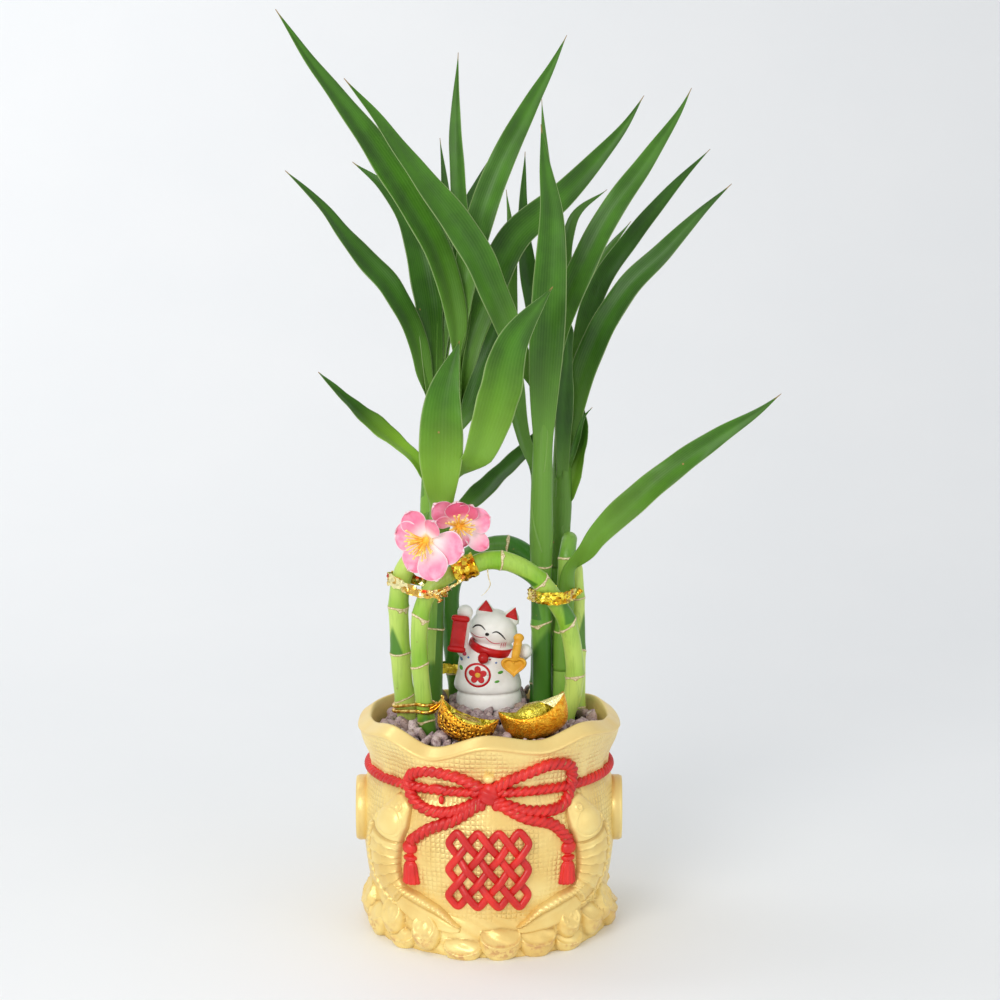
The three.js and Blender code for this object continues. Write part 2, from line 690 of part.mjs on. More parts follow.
// Free spots of the bed: a seeded draw that keeps stones off the stalks, the figure and the ingots
function stonePlaces(random) {
  const kept = [];
  const taken = [...Object.values(CANES), ...Object.values(STEMS)].flatMap(({ path }) => {
    const curve = curveThrough(path);
    return [curve.getPointAt(0), ...curve.getPoints(60), curve.getPointAt(1)]
      .filter((p) => Math.abs(p.z - BED_LEVEL) < 9).map((p) => [p.x, p.y, 9.5]);
  });
  taken.push([CAT.x, CAT.y, 19], [INGOTS.left.x, INGOTS.left.y, 13], [INGOTS.right.x, INGOTS.right.y, 15]);
  for (let tries = 0; tries < 2600 && kept.length < STONES; tries++) {
    const radius = 47 * Math.sqrt(random());
    const turn = random() * 2 * Math.PI;
    const x = radius * Math.cos(turn);
    const y = radius * Math.sin(turn);
    const isFree = taken.every(([a, b, reach]) => Math.hypot(x - a, y - b) > reach)
      && kept.every(([a, b]) => Math.hypot(x - a, y - b) > 8);
    if (isFree) kept.push([x, y]);
  }
  return kept;
}

function gravel() {
  const sides = 36;
  const radius = CAVITY_RADIUS - CLEARANCE;
  const ring = (r, heightAt) => Array.from({ length: sides }, (_, j) => {
    const turn = (j / sides) * 2 * Math.PI;
    return vec(r * Math.cos(turn), r * Math.sin(turn), heightAt(r * Math.sin(turn)));
  });
  const floor = POT_FLOOR + CLEARANCE;
  const shoulder = (y) => bedHeight(y) - 3.5;
  const bed = loft([ring(radius, () => floor), ring(radius, shoulder), ring(radius - 3, bedHeight)]);
  const random = seededRandom(SEED);
  const stones = stonePlaces(random).map(([x, y]) => gravelStone(x, y, random));
  const holes = [...Object.values(CANES).map((c) => cane(c, CLEARANCE)),
    ...Object.values(STEMS).map((s) => stem(s, CLEARANCE))];
  return carve(fuse([bed, ...stones]), holes);
}

// Gold ties

// Loop round the canes whose middles and radii are given, as a flat band or a wire
function tie(round, height, thickness, gap, steps = 20) {
  const rings = Array.from({ length: steps }, (_, i) => {
    const turn = (i / steps) * 2 * Math.PI;
    const out = vec(Math.cos(turn), Math.sin(turn), 0);
    const [x, y, z, radius] = round.reduce((best, next) => (
      next[0] * out.x + next[1] * out.y + next[3] > best[0] * out.x + best[1] * out.y + best[3] ? next : best));
    const wall = (offset, up) => vec(x, y, z + up).addScaledVector(out, radius + gap + offset);
    const half = height / 2;
    return [wall(0, -half), wall(thickness, -half), wall(thickness, half), wall(0, half)];
  });
  return loft(rings, true);
}

const strand = (path, radius = 0.7, steps = 8, sides = 6) => rod(curveThrough(path), () => radius, steps, sides);

// Ribbon wound round a cane along a short path
function sleeve(path, inner, outer, beyond) {
  const hole = [path[0], path[path.length - 1]].map((p, i) => vec(...p).addScaledVector(
    vec(...path[path.length - 1]).sub(vec(...path[0])).normalize(), i ? beyond : -beyond).toArray());
  const round = (stops, radius) => rod(curveThrough(stops), () => radius, stops.length, 12);
  return carve(round(path, outer), [round([hole[0], ...path, hole[1]], inner)]);
}

const TIES = {
  leftTop: fuse([
    tie([[-40.2, -0.6, 160, 4.8], [-26.4, -11, 156.5, 6.6]], 3.6, 0.7, 0.6),
    strand([[-22, -16.2, 157], [-17, -17.2, 158.6], [-13.4, -17.4, 161.5], [-10.7, -17.6, 165]], 0.8, 6, 5),
  ]),
  leftFoot: fuse([
    tie([[-38.6, 4.5, 97.8, 4.7], [-28.8, -12, 102, 3.8]], 2.4, 1, 0.6),
    strand([[-25, -16.4, 102], [-21.6, -15.5, 104], [-20.9, -14.6, 109]], 0.6, 5, 5),
  ]),
  leftRear: tie([[-27.6, 28, 112.4, 4.1], [-16.4, 41.5, 108.6, 4.5]], 4, 0.7, 0.7),
  right: fuse([
    tie([[28.8, -2.2, 152.6, 7], [35.2, 24, 148.4, 4.1], [24.2, 23, 148.4, 4.8]], 4.4, 0.7, 0.6),
    strand([[37.4, 9, 149.5], [39.5, 10.5, 149.6], [42.2, 11, 152]], 0.8, 4, 5),
  ]),
  arch: sleeve([[-17.4, -11, 164.4], [-13.6, -11, 165.8], [-8, -10.6, 168.2]], 4.8, 5.7, 3),
};

// Blossoms

// Cupped round petal that springs from the bloom's middle, in the bloom's own frame, which looks along Z
function petal(turnDegrees, length, width, cup) {
  const rows = 4;
  const columns = 4;
  const turn = THREE.MathUtils.degToRad(turnDegrees);
  const face = (lift) => Array.from({ length: rows }, (_, i) => Array.from({ length: columns }, (__, j) => {
    const share = i / (rows - 1);
    const across = (j / (columns - 1)) * 2 - 1;
    const end = share * length * (1 - 0.14 * share * across * across);
    const x = 2 + end;
    const half = Math.min((width / 2) * Math.sin(Math.PI * Math.min(share * 0.62 + 0.06, 0.72)) + 0.4, 0.64 * x);
    const rise = cup * share ** 1.6 + 1.4 * across * across * share;
    const y = half * across * (share > 0.99 ? 0.72 : 1);
    return vec(x * Math.cos(turn) - y * Math.sin(turn), x * Math.sin(turn) + y * Math.cos(turn), rise + lift);
  }));
  return sheet(face(0.35), face(-0.35));
}

function inBloomFrame(geometry, { place, aim }) {
  const turn = new THREE.Quaternion().setFromUnitVectors(vec(0, 0, 1), vec(...aim).normalize());
  return geometry.applyMatrix4(new THREE.Matrix4().compose(vec(...place), turn, vec(1, 1, 1)));
}

// Middle and look of each bloom, its wire stem from the cane it is tied to, and its petals: the way each
// points, in degrees from the right, its length, its width and how far it cups
const BLOOMS = {
  left: {
    place: [-27.4, -19.4, 181.4], aim: [-0.35, -1, 0.05],
    wire: [[-36.6, -6.6, 165], [-35, -9.5, 170.5], [-31.4, -12.5, 177], [-28.4, -15.8, 180.6],
      [-27.2, -17.6, 181.2]],
    petals: [[152, 13.6, 15.5, 3.2], [222, 15, 16, 3], [270, 17.5, 14.5, 3.2], [324, 15.6, 16, 4.4],
      [108, 14, 14, 2], [35, 8, 10, 7]],
  },
  right: {
    place: [-13.8, -12.4, 187], aim: [0.15, -1, -0.1],
    wire: [[-12, -10.8, 173], [-12.6, -9.8, 177.4], [-13.2, -9, 182], [-13.6, -10.4, 186.4]],
    petals: [[146, 14.5, 13, 4.4], [106, 11, 13, 5.6], [68, 10.5, 12, 6.2], [24, 13.5, 14, 3], [330, 16, 11.5, 3],
      [262, 8, 12, 3]],
  },
};

function bloomPetals(bloom) {
  const petals = bloom.petals.map((shape, i) => placed(petal(...shape), [0, 0, 0.9 * (i % 2)]));
  const heart = placed(new THREE.CylinderGeometry(2.6, 1.6, 4, 7), [0, 0, -1.2], [90, 0, 0]);
  return fuse([strand(bloom.wire, 0.7, 5, 5), ...[heart, ...petals].map((piece) => inBloomFrame(piece, bloom))]);
}

function bloomStamens(bloom) {
  const button = placed(new THREE.CylinderGeometry(1.5, 1.7, 1.4, 7), [0, 0, 1.8], [90, 0, 0]);
  const threads = Array.from({ length: 5 }, (_, i) => {
    const turn = (i / 5) * 2 * Math.PI;
    const reach = i % 2 ? 4.6 : 3.4;
    return strand([[0.6 * Math.cos(turn), 0.6 * Math.sin(turn), 1.9],
      [reach * Math.cos(turn), reach * Math.sin(turn), 5 + (i % 3) * 0.5]], 0.45, 1, 4);
  });
  return inBloomFrame(fuse([button, ...threads]), bloom);
}

// Beckoning cat

const CAT_SOLE = 0.6;
const CAT = { x: -0.2, y: 27, z: bedHeight(33) + CLEARANCE - CAT_SOLE };
const catPlace = (x, y, z) => [CAT.x + x, CAT.y + y, CAT.z + z];

// Cushion, feet, body, head, ears and arms with their paws, each grown by extra
function catForms(extra = 0) {
  const round = (centre, size, turns, across, down) =>
    ellipsoid(catPlace(...centre), size.map((half) => half + extra), turns, across, down);
  const arm = (stops, radius) => rod(curveThrough(stops.map((p) => catPlace(...p))), () => radius + extra, 3, 7);
  const ear = (x, z, lean) =>
    placed(new THREE.ConeGeometry(5.2, 7.4, 6), catPlace(x, -1, z), [90, 0, lean], [1, 1, 0.6]);
  return [
    round([0, 0, 4.8], [15.3, 12.6, 4.8], [0, 0, 0], 12, 5),
    round([-0.7, -0.2, 12.6], [15.9, 12.2, 6.6], [0, 0, 0], 12, 5),
    round([-0.5, 0, 18], [13.8, 11.2, 13], [0, 0, 0], 12, 8),
    round([2.2, -1.2, 38.6], [11.5, 10, 9.4], [0, 13, 0], 12, 8),
    ear(-0.6, 47.6, 4),
    ear(10.2, 44.6, -14),
    arm([[-9, -3, 22], [-13, -7, 30], [-11, -10.5, 47]], 3),
    arm([[9, -3, 24], [14.5, -8, 26], [16.6, -11, 28.6]], 3),
    round([-11, -11, 48.6], [3.5, 3.2, 3.4], [0, 0, 0], 8, 6),
    round([16.9, -12, 29.8], [3.2, 3, 3.2], [0, 0, 0], 8, 6),
  ];
}

function catFigure() {
  const under = placed(new THREE.BoxGeometry(60, 60, 10), catPlace(0, 0, CAT_SOLE - 5));
  return carve(fuse(catForms()), [under]);
}

function catCollar() {
  const ring = new THREE.TorusGeometry(10.2, 2.3, 4, 14);
  const band = placed(ring, catPlace(1.2, -1.2, 29.4), [0, 13, 0]);
  const bell = ellipsoid(catPlace(-2.6, -13.6, 26.9), [2.5, 2.5, 2.5], [0, 0, 0], 8, 6);
  const neck = placed(new THREE.CylinderGeometry(9.3, 9.3, 14, 16), catPlace(1, -1, 29.4), [90, 0, 0]);
  return carve(fuse([band, bell]), [...catForms(0.5), neck]);
}

function catScroll() {
  const tilt = [0, 8, 0];
  const roll = (z) => placed(new THREE.CylinderGeometry(1.5, 1.5, 8.4, 8), [0.12 * z, 0, z], [0, 8, 90]);
  const page = placed(new THREE.BoxGeometry(7, 1.4, 14.6), [0, 0, 0], tilt);
  return placed(fuse([page, roll(7.3), roll(-7.3)]), catPlace(-14, -15.9, 39));
}

function catCharm() {
  const heart = new THREE.Shape();
  heart.moveTo(0, -5.6);
  heart.bezierCurveTo(-2.4, -4, -6, -1.4, -6, 1.8);
  heart.bezierCurveTo(-6, 5.4, -1.6, 6, 0, 3);
  heart.bezierCurveTo(1.6, 6, 6, 5.4, 6, 1.8);
  heart.bezierCurveTo(6, -1.4, 2.4, -4, 0, -5.6);
  const plate = placed(new THREE.ExtrudeGeometry(heart, { depth: 2.4, bevelEnabled: false, curveSegments: 4 }),
    [0, 0, 0], [90, 0, 0]);
  const handle = rod(curveThrough([[0.4, -1.2, 1], [1.4, -1.2, 8], [2.2, -1.2, 13]]), () => 1.8, 3);
  const knob = ellipsoid([2.3, -1.2, 13.4], [2.4, 1.8, 2], [0, 0, 0], 8, 6);
  return placed(fuse([plate, handle, knob]), catPlace(11.6, -15.4, 23.9));
}

// Ingots on the gravel
const INGOTS = {
  left: { x: -13, y: -31, lift: 2.6, length: 27, width: 15, height: 14, dome: 0.74, turns: [0, 20, -4] },
  right: { x: 23.4, y: -26, lift: 2.3, length: 31, width: 17, height: 16, dome: 0.96, turns: [0, -16, 8] },
};

function looseIngot({ x, y, lift, length, width, height, dome, turns }) {
  return placed(ingotShape(length, width, height, dome, 14), [x, y, bedHeight(y) + lift], turns);
}

// Assembly

const model = new THREE.Group();

function add(name, geometry, material) {
  const mesh = new THREE.Mesh(geometry, material);
  mesh.name = name;
  model.add(mesh);
}

add('pot', pot(), FINISH.pot);
add('gravel', gravel(), FINISH.gravel);
add('cane_left_outer', cane(CANES.leftOuter), FINISH.cane);
add('cane_left_inner', cane(CANES.leftInner), FINISH.cane);
add('cane_arch_front', cane(CANES.archFront), FINISH.cane);
add('cane_arch_rear', cane(CANES.archRear), FINISH.cane);
add('cane_right_outer', cane(CANES.rightOuter), FINISH.cane);
add('stalk_left_front', leafyStalk('leftFront'), FINISH.leaf);
add('stalk_left_rear', leafyStalk('leftRear'), FINISH.leaf);
add('stalk_right_front', leafyStalk('rightFront'), FINISH.leaf);
add('stalk_right_rear', leafyStalk('rightRear'), FINISH.leaf);
add('stalk_right_short', leafyStalk('rightShort'), FINISH.leaf);

add('tie_left_top', TIES.leftTop, FINISH.foil);
add('tie_left_foot', TIES.leftFoot, FINISH.foil);
add('tie_left_rear', TIES.leftRear, FINISH.foil);
add('tie_right', TIES.right, FINISH.foil);
add('tie_arch', TIES.arch, FINISH.foil);

add('bloom_left', bloomPetals(BLOOMS.left), FINISH.petal);
add('bloom_left_stamens', bloomStamens(BLOOMS.left), FINISH.stamen);
add('bloom_right', bloomPetals(BLOOMS.right), FINISH.petal);
add('bloom_right_stamens', bloomStamens(BLOOMS.right), FINISH.stamen);

add('cat_figure', catFigure(), FINISH.figure);
add('cat_collar', catCollar(), FINISH.red);
add('cat_scroll', catScroll(), FINISH.red);
add('cat_charm', catCharm(), FINISH.charm);

add('ingot_left', looseIngot(INGOTS.left), FINISH.ingot);
add('ingot_right', looseIngot(INGOTS.right), FINISH.ingot);

export default model;
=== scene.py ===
import math

import bmesh
import bpy
import numpy as np
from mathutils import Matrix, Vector
from mathutils.bvhtree import BVHTree


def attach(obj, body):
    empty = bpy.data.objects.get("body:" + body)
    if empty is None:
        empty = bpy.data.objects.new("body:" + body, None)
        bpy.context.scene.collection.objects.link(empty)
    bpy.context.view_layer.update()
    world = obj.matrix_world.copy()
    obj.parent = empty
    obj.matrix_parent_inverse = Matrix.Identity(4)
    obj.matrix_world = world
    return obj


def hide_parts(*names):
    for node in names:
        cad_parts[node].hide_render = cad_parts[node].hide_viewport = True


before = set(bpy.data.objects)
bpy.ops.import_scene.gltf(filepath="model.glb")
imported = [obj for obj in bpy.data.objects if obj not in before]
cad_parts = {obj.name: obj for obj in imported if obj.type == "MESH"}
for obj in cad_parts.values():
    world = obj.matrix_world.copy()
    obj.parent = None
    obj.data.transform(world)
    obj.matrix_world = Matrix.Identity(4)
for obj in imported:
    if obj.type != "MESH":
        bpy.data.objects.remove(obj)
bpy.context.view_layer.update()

# Lucky bamboo in a gold pot shaped as a tied sack. Lengths are millimetres until a mesh is made.
MM = 0.001
SEED = 7


# Camera, light and floor

CAMERA_PLACE = (5, -941, 342)
CAMERA_TILT = 81.2
FOCAL_LENGTH = 75.6


def look_through_camera():
    camera = bpy.data.cameras.new("camera")
    camera.lens = FOCAL_LENGTH
    camera.sensor_width = 36
    camera.clip_end = 20
    holder = bpy.data.objects.new("camera", camera)
    holder.location = Vector(CAMERA_PLACE) * MM
    holder.rotation_euler = (math.radians(CAMERA_TILT), 0, 0)
    bpy.context.scene.collection.objects.link(holder)
    bpy.context.scene.camera = holder


def soft_light(name, place, size, watts, target=(0, 0, 150), colour=(1, 1, 1)):
    light = bpy.data.lights.new(name, "AREA")
    light.shape = "DISK"
    light.size = size * MM
    light.energy = watts
    light.color = colour
    holder = bpy.data.objects.new(name, light)
    holder.location = Vector(place) * MM
    aim = Vector(target) - Vector(place)
    holder.rotation_euler = aim.to_track_quat("-Z", "Y").to_euler()
    bpy.context.scene.collection.objects.link(holder)


def light_studio():
    soft_light("window_light", (-460, -980, 600), 620, 6.5, colour=(1, 0.98, 0.95))
    soft_light("fill_light", (900, -700, 420), 900, 1.6, colour=(0.95, 0.98, 1))
    soft_light("backdrop_light", (-900, 450, 1500), 900, 7.5, target=(-800, 1700, 300))
    world = bpy.data.worlds.new("studio")
    world.use_nodes = True
    sky = world.node_tree.nodes["Background"]
    sky.inputs["Color"].default_value = (0.98, 0.99, 1, 1)
    sky.inputs["Strength"].default_value = 0.7
    bpy.context.scene.world = world
    bpy.context.scene.view_settings.view_transform = "Standard"


# Sums and curves

def smooth(low, high, value):
    share = np.clip((np.asarray(value, float) - low) / (high - low), 0, 1)
    return share * share * (3 - 2 * share)


def eased(pairs, place):
    """Value read off [place, value] pairs with an eased step between neighbours."""
    at, value = np.array(pairs, float).T
    place = np.asarray(place, float)
    later = np.clip(np.searchsorted(at, place, side="left"), 1, len(at) - 1)
    share = np.clip((place - at[later - 1]) / (at[later] - at[later - 1]), 0, 1)
    return value[later - 1] + (value[later] - value[later - 1]) * share * share * (3 - 2 * share)


def unit(vectors):
    vectors = np.asarray(vectors, float)
    return vectors / np.maximum(np.linalg.norm(vectors, axis=-1, keepdims=True), 1e-9)


def circle(count):
    """Turns in radians, evenly round a full circle."""
    return np.linspace(0, 2 * np.pi, count, endpoint=False)


def xyz(*parts):
    """Points from their x, y and z, which may be of different shapes."""
    return np.stack(np.broadcast_arrays(*parts), -1)


class Course:
    """A smooth curve through given points, read by the share of its length."""

    def __init__(self, stops, fine=30):
        ends = np.array(stops, float)
        points = np.vstack([2 * ends[0] - ends[1], ends, 2 * ends[-1] - ends[-2]])
        spans = [self.span(*points[i:i + 4], fine) for i in range(len(ends) - 1)]
        self.points = np.vstack([*spans, ends[-1]])
        steps = np.linalg.norm(np.diff(self.points, axis=0), axis=1)
        self.run = np.concatenate([[0], np.cumsum(steps)])
        self.length = self.run[-1]

    @staticmethod
    def span(a, b, c, d, fine):
        gaps = [max(np.linalg.norm(q - p) ** 0.5, 1e-4) for p, q in ((a, b), (b, c), (c, d))]
        first, middle, last = gaps
        leave = (b - a) / first - (c - a) / (first + middle) + (c - b) / middle
        arrive = (c - b) / middle - (d - b) / (middle + last) + (d - c) / last
        t = np.linspace(0, 1, fine, endpoint=False)[:, None]
        cube = (2 * b - 2 * c + (leave + arrive) * middle) * t ** 3
        square = (-3 * b + 3 * c - (2 * leave + arrive) * middle) * t ** 2
        return cube + square + leave * middle * t + b

    def at(self, share):
        place = np.asarray(share, float) * self.length
        return np.stack([np.interp(place, self.run, column) for column in self.points.T], -1)

    def heading(self, share):
        share = np.asarray(share, float)
        return unit(self.at(np.minimum(share + 0.004, 1)) - self.at(np.maximum(share - 0.004, 0)))

    def frames(self, shares, front):
        """Heading, front and side of the curve at each share; the front is carried along without a twist."""
        headings = self.heading(shares)
        fronts = []
        last = np.array(front, float)
        for heading in headings:
            last = unit(last - heading * (last @ heading))
            fronts.append(last)
        fronts = np.array(fronts)
        return headings, fronts, np.cross(headings, fronts)


# Meshes

class Form:
    """Points in millimetres, faces and named marks of one mesh, gathered shape by shape."""

    def __init__(self):
        self.points = []
        self.faces = []
        self.marks = {}
        self.finish = []
        self.count = 0

    def add(self, points, faces, finish=0, **marks):
        points = np.asarray(points, float).reshape(-1, 3)
        self.points.append(points)
        self.faces += [[corner + self.count for corner in face] for face in faces]
        self.finish += [finish] * len(faces)
        for name, values in marks.items():
            full = np.broadcast_to(np.asarray(values, float), len(points))
            self.marks.setdefault(name, []).append((self.count, full))
        self.count += len(points)
        return self

    def mark(self, name):
        whole = np.zeros(self.count)
        for start, values in self.marks[name]:
            whole[start:start + len(values)] = values
        return whole


def grid_faces(rows, columns, loops=False):
    """Faces of a grid of points; loops joins the last column to the first."""
    first = np.arange(rows - 1)[:, None] * columns
    across = np.arange(columns if loops else columns - 1)[None, :]
    after = (across + 1) % columns
    corners = [first + across, first + after, first + columns + after, first + columns + across]
    return np.stack(corners, -1).reshape(-1, 4).tolist()


def ring_faces(rows, columns):
    """Faces of a grid of points whose last row and column join the first ones."""
    count = rows * columns
    return [[corner % count for corner in face] for face in grid_faces(rows + 1, columns, True)]


def closed_skin(rings):
    """Grid of rings with a point in the middle of each end, so that it is one closed body."""
    rings = np.asarray(rings)
    rows, columns, _ = rings.shape
    faces = grid_faces(rows, columns, True)
    start, end = rows * columns, rows * columns + 1
    last = (rows - 1) * columns
    for j in range(columns):
        after = (j + 1) % columns
        faces.append([start, after, j])
        faces.append([end, last + j, last + after])
    return np.vstack([rings.reshape(-1, 3), rings[0].mean(0), rings[-1].mean(0)]), faces


def slab(top, bottom):
    """Closed sheet between two grids of points."""
    rows, columns, _ = top.shape
    under = rows * columns
    faces = grid_faces(rows, columns)
    faces += [[under + corner for corner in reversed(face)] for face in grid_faces(rows, columns)]
    index = np.arange(under).reshape(rows, columns)
    edge = [*index[0, :-1], *index[:-1, -1], *index[-1, :0:-1], *index[:0:-1, 0]]
    for a, b in zip(edge, edge[1:] + edge[:1]):
        faces.append([int(b), int(a), int(a) + under, int(b) + under])
    return np.vstack([top.reshape(-1, 3), bottom.reshape(-1, 3)]), faces


def tube(course, rings, sides, radius, front=(0, -1, 0), shares=None):
    """Skin round a course; radius takes the share of its length and the turn from its front, in radians."""
    shares = np.linspace(0, 1, rings) if shares is None else shares
    _, fronts, across = course.frames(shares, front)
    turns = circle(sides)
    share, turn = np.meshgrid(shares, turns, indexing="ij")
    reach = np.broadcast_to(radius(share, turn), share.shape)[..., None]
    middle = course.at(shares)[:, None, :]
    outward = np.cos(turn)[..., None] * fronts[:, None, :] + np.sin(turn)[..., None] * across[:, None, :]
    skin = middle + reach * outward
    points, faces = closed_skin(skin)
    share = np.concatenate([share.ravel(), [shares[0], shares[-1]]])
    turn = np.concatenate([turn.ravel(), [0, 0]])
    return points, faces, share, turn


def rounded(share, radius, length):
    """Radius near a rounded end: full along the length, closing over the last radius of it."""
    left = np.clip((1 - share) * length / radius, 0, 1)
    right = np.clip(share * length / radius, 0, 1)
    return radius * np.sqrt(np.clip(1 - (1 - np.minimum(left, right)) ** 2, 0.004, 1))


def ball(centre, size, turns=(0, 0, 0), across=32, down=20, shape=None):
    """Ellipsoid; shape may push its points, given on the unit sphere."""
    polar = np.linspace(0.02, np.pi - 0.02, down)[:, None]
    turn = circle(across)[None, :]
    sphere = np.stack([np.sin(polar) * np.cos(turn), np.sin(polar) * np.sin(turn),
                       np.cos(polar) * np.ones_like(turn)], -1)
    if shape:
        sphere = shape(sphere)
    points, faces = closed_skin(sphere)
    return turned(points * np.array(size), turns) + np.array(centre, float), faces


def turned(points, turns):
    """Points turned about X, then Y, then Z, in degrees."""
    points = np.asarray(points, float)
    for axis, degrees in enumerate(turns):
        angle = math.radians(degrees)
        c, s = math.cos(angle), math.sin(angle)
        a, b = (axis + 1) % 3, (axis + 2) % 3
        moved = points.copy()
        moved[..., a] = c * points[..., a] - s * points[..., b]
        moved[..., b] = s * points[..., a] + c * points[..., b]
        points = moved
    return points


def lathe(profile, sides):
    """Body of revolution about Z through [radius, height] pairs."""
    profile = np.array(profile, float)
    turn = circle(sides)
    rings = np.stack([profile[:, :1] * np.cos(turn), profile[:, :1] * np.sin(turn),
                      profile[:, 1:] * np.ones_like(turn)], -1)
    return closed_skin(rings)


def mesh_of(name, form):
    mesh = bpy.data.meshes.new(name)
    mesh.from_pydata((np.vstack(form.points) * MM).tolist(), [], form.faces)
    for mark in form.marks:
        layer = mesh.attributes.new(mark, "FLOAT", "POINT")
        layer.data.foreach_set("value", form.mark(mark).astype(np.float32))
    mesh.polygons.foreach_set("material_index", form.finish)
    kit = bmesh.new()
    kit.from_mesh(mesh)
    bmesh.ops.recalc_face_normals(kit, faces=kit.faces)
    kit.to_mesh(mesh)
    kit.free()
    mesh.polygons.foreach_set("use_smooth", [True] * len(mesh.polygons))
    return mesh


def piece(name, form, finishes, slot, *nodes, crease=None):
    """Object made of a form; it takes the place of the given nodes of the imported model."""
    made = bpy.data.objects.new(name, mesh_of(name, form))
    for finish in finishes:
        made.data.materials.append(finish)
    bpy.context.scene.collection.objects.link(made)
    if crease:
        made.data.set_sharp_from_angle(angle=math.radians(crease))
    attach(made, "root")
    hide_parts(*nodes)
    return made


def melted(form, voxel, rounds):
    """The shapes of a form joined into one skin of even faces, then softened."""
    made = bpy.data.objects.new("melt", mesh_of("melt", form))
    bpy.context.scene.collection.objects.link(made)
    remesh = made.modifiers.new("join", "REMESH")
    remesh.mode = "VOXEL"
    remesh.voxel_size = voxel * MM
    soften = made.modifiers.new("soften", "SMOOTH")
    soften.factor = 0.5
    soften.iterations = rounds
    bpy.context.view_layer.update()
    shown = made.evaluated_get(bpy.context.evaluated_depsgraph_get())
    mesh = shown.to_mesh()
    points = np.zeros(len(mesh.vertices) * 3)
    mesh.vertices.foreach_get("co", points)
    faces = [list(face.vertices) for face in mesh.polygons]
    shown.to_mesh_clear()
    bpy.data.objects.remove(made)
    return points.reshape(-1, 3) / MM, faces


# Materials

def paint(code):
    """Linear colour of a six-figure colour code."""
    parts = [int(code[i:i + 2], 16) / 255 for i in (0, 2, 4)]
    return tuple(p / 12.92 if p <= 0.04045 else ((p + 0.055) / 1.055) ** 2.4 for p in parts) + (1,)


class Value:
    """A shader socket that takes part in Python sums."""

    def __init__(self, shader, socket):
        self.shader = shader
        self.socket = socket

    def math(self, operation, *values):
        return self.shader.node("Math", {"operation": operation}, dict(enumerate(values)))

    def __add__(self, other):
        return self.math("ADD", self, other)

    def __sub__(self, other):
        return self.math("SUBTRACT", self, other)

    def __rsub__(self, other):
        return self.math("SUBTRACT", other, self)

    def __mul__(self, other):
        return self.math("MULTIPLY", self, other)

    def __truediv__(self, other):
        return self.math("DIVIDE", self, other)

    def __pow__(self, other):
        return self.math("POWER", self, other)

    def __abs__(self):
        return self.math("ABSOLUTE", self)

    __radd__ = __add__
    __rmul__ = __mul__

    def sine(self):
        return self.math("SINE", self)

    def most(self, other):
        return self.math("MAXIMUM", self, other)

    def rise(self, low, high):
        """0 below low, 1 above high, eased between; falls where low is above high."""
        if low > high:
            return 1 - self.rise(high, low)
        return self.shader.node("MapRange", {"interpolation_type": "SMOOTHSTEP"},
                                {"Value": self, "From Min": low, "From Max": high})


class Shader:
    """The nodes of one material, round its Principled surface."""

    def __init__(self, name, **constants):
        self.material = bpy.data.materials.new(name)
        self.material.use_nodes = True
        self.tree = self.material.node_tree
        self.surface = self.tree.nodes["Principled BSDF"]
        for socket, value in constants.items():
            self.surface.inputs[socket.replace("_", " ")].default_value = value

    def feed(self, socket, value):
        if isinstance(value, Value):
            self.tree.links.new(value.socket, socket)
        else:
            socket.default_value = value

    def node(self, kind, settings=None, sockets=None, out=0):
        made = self.tree.nodes.new("ShaderNode" + kind)
        for key, value in (settings or {}).items():
            setattr(made, key, value)
        for key, value in (sockets or {}).items():
            self.feed(made.inputs[key], value)
        return Value(self, made.outputs[out])

    def mark(self, name):
        return self.node("Attribute", {"attribute_name": name}, out="Fac")

    def place(self):
        return self.node("TexCoord", out="Object")

    def axis(self, index):
        return self.node("SeparateXYZ", {}, {0: self.place()}, out=index)

    def noise(self, size, detail, rough=0.5, stretch=None):
        """Noise whose patches are about size millimetres; stretch scales its axes."""
        where = self.place()
        if stretch:
            where = self.node("VectorMath", {"operation": "MULTIPLY"}, {0: where, 1: stretch})
        sockets = {"Vector": where, "Scale": 1 / (size * MM), "Detail": detail, "Roughness": rough}
        return self.node("TexNoise", {}, sockets)

    def cells(self, size, feature="F1", out="Distance", random=1.0):
        sockets = {"Vector": self.place(), "Scale": 1 / (size * MM), "Randomness": random}
        return self.node("TexVoronoi", {"feature": feature}, sockets, out)

    def blend(self, share, first, second):
        return self.node("Mix", {"data_type": "RGBA"}, {0: share, 6: first, 7: second}, out=2)

    def bump(self, height, depth, strength, over=None):
        sockets = {"Height": height, "Distance": depth * MM, "Strength": strength}
        if over:
            sockets["Normal"] = over
        return self.node("Bump", {}, sockets)

    def wear(self, **sockets):
        """Feeds what varies into the surface and returns the material."""
        for name, value in sockets.items():
            self.feed(self.surface.inputs[name.replace("_", " ")], value)
        return self.material


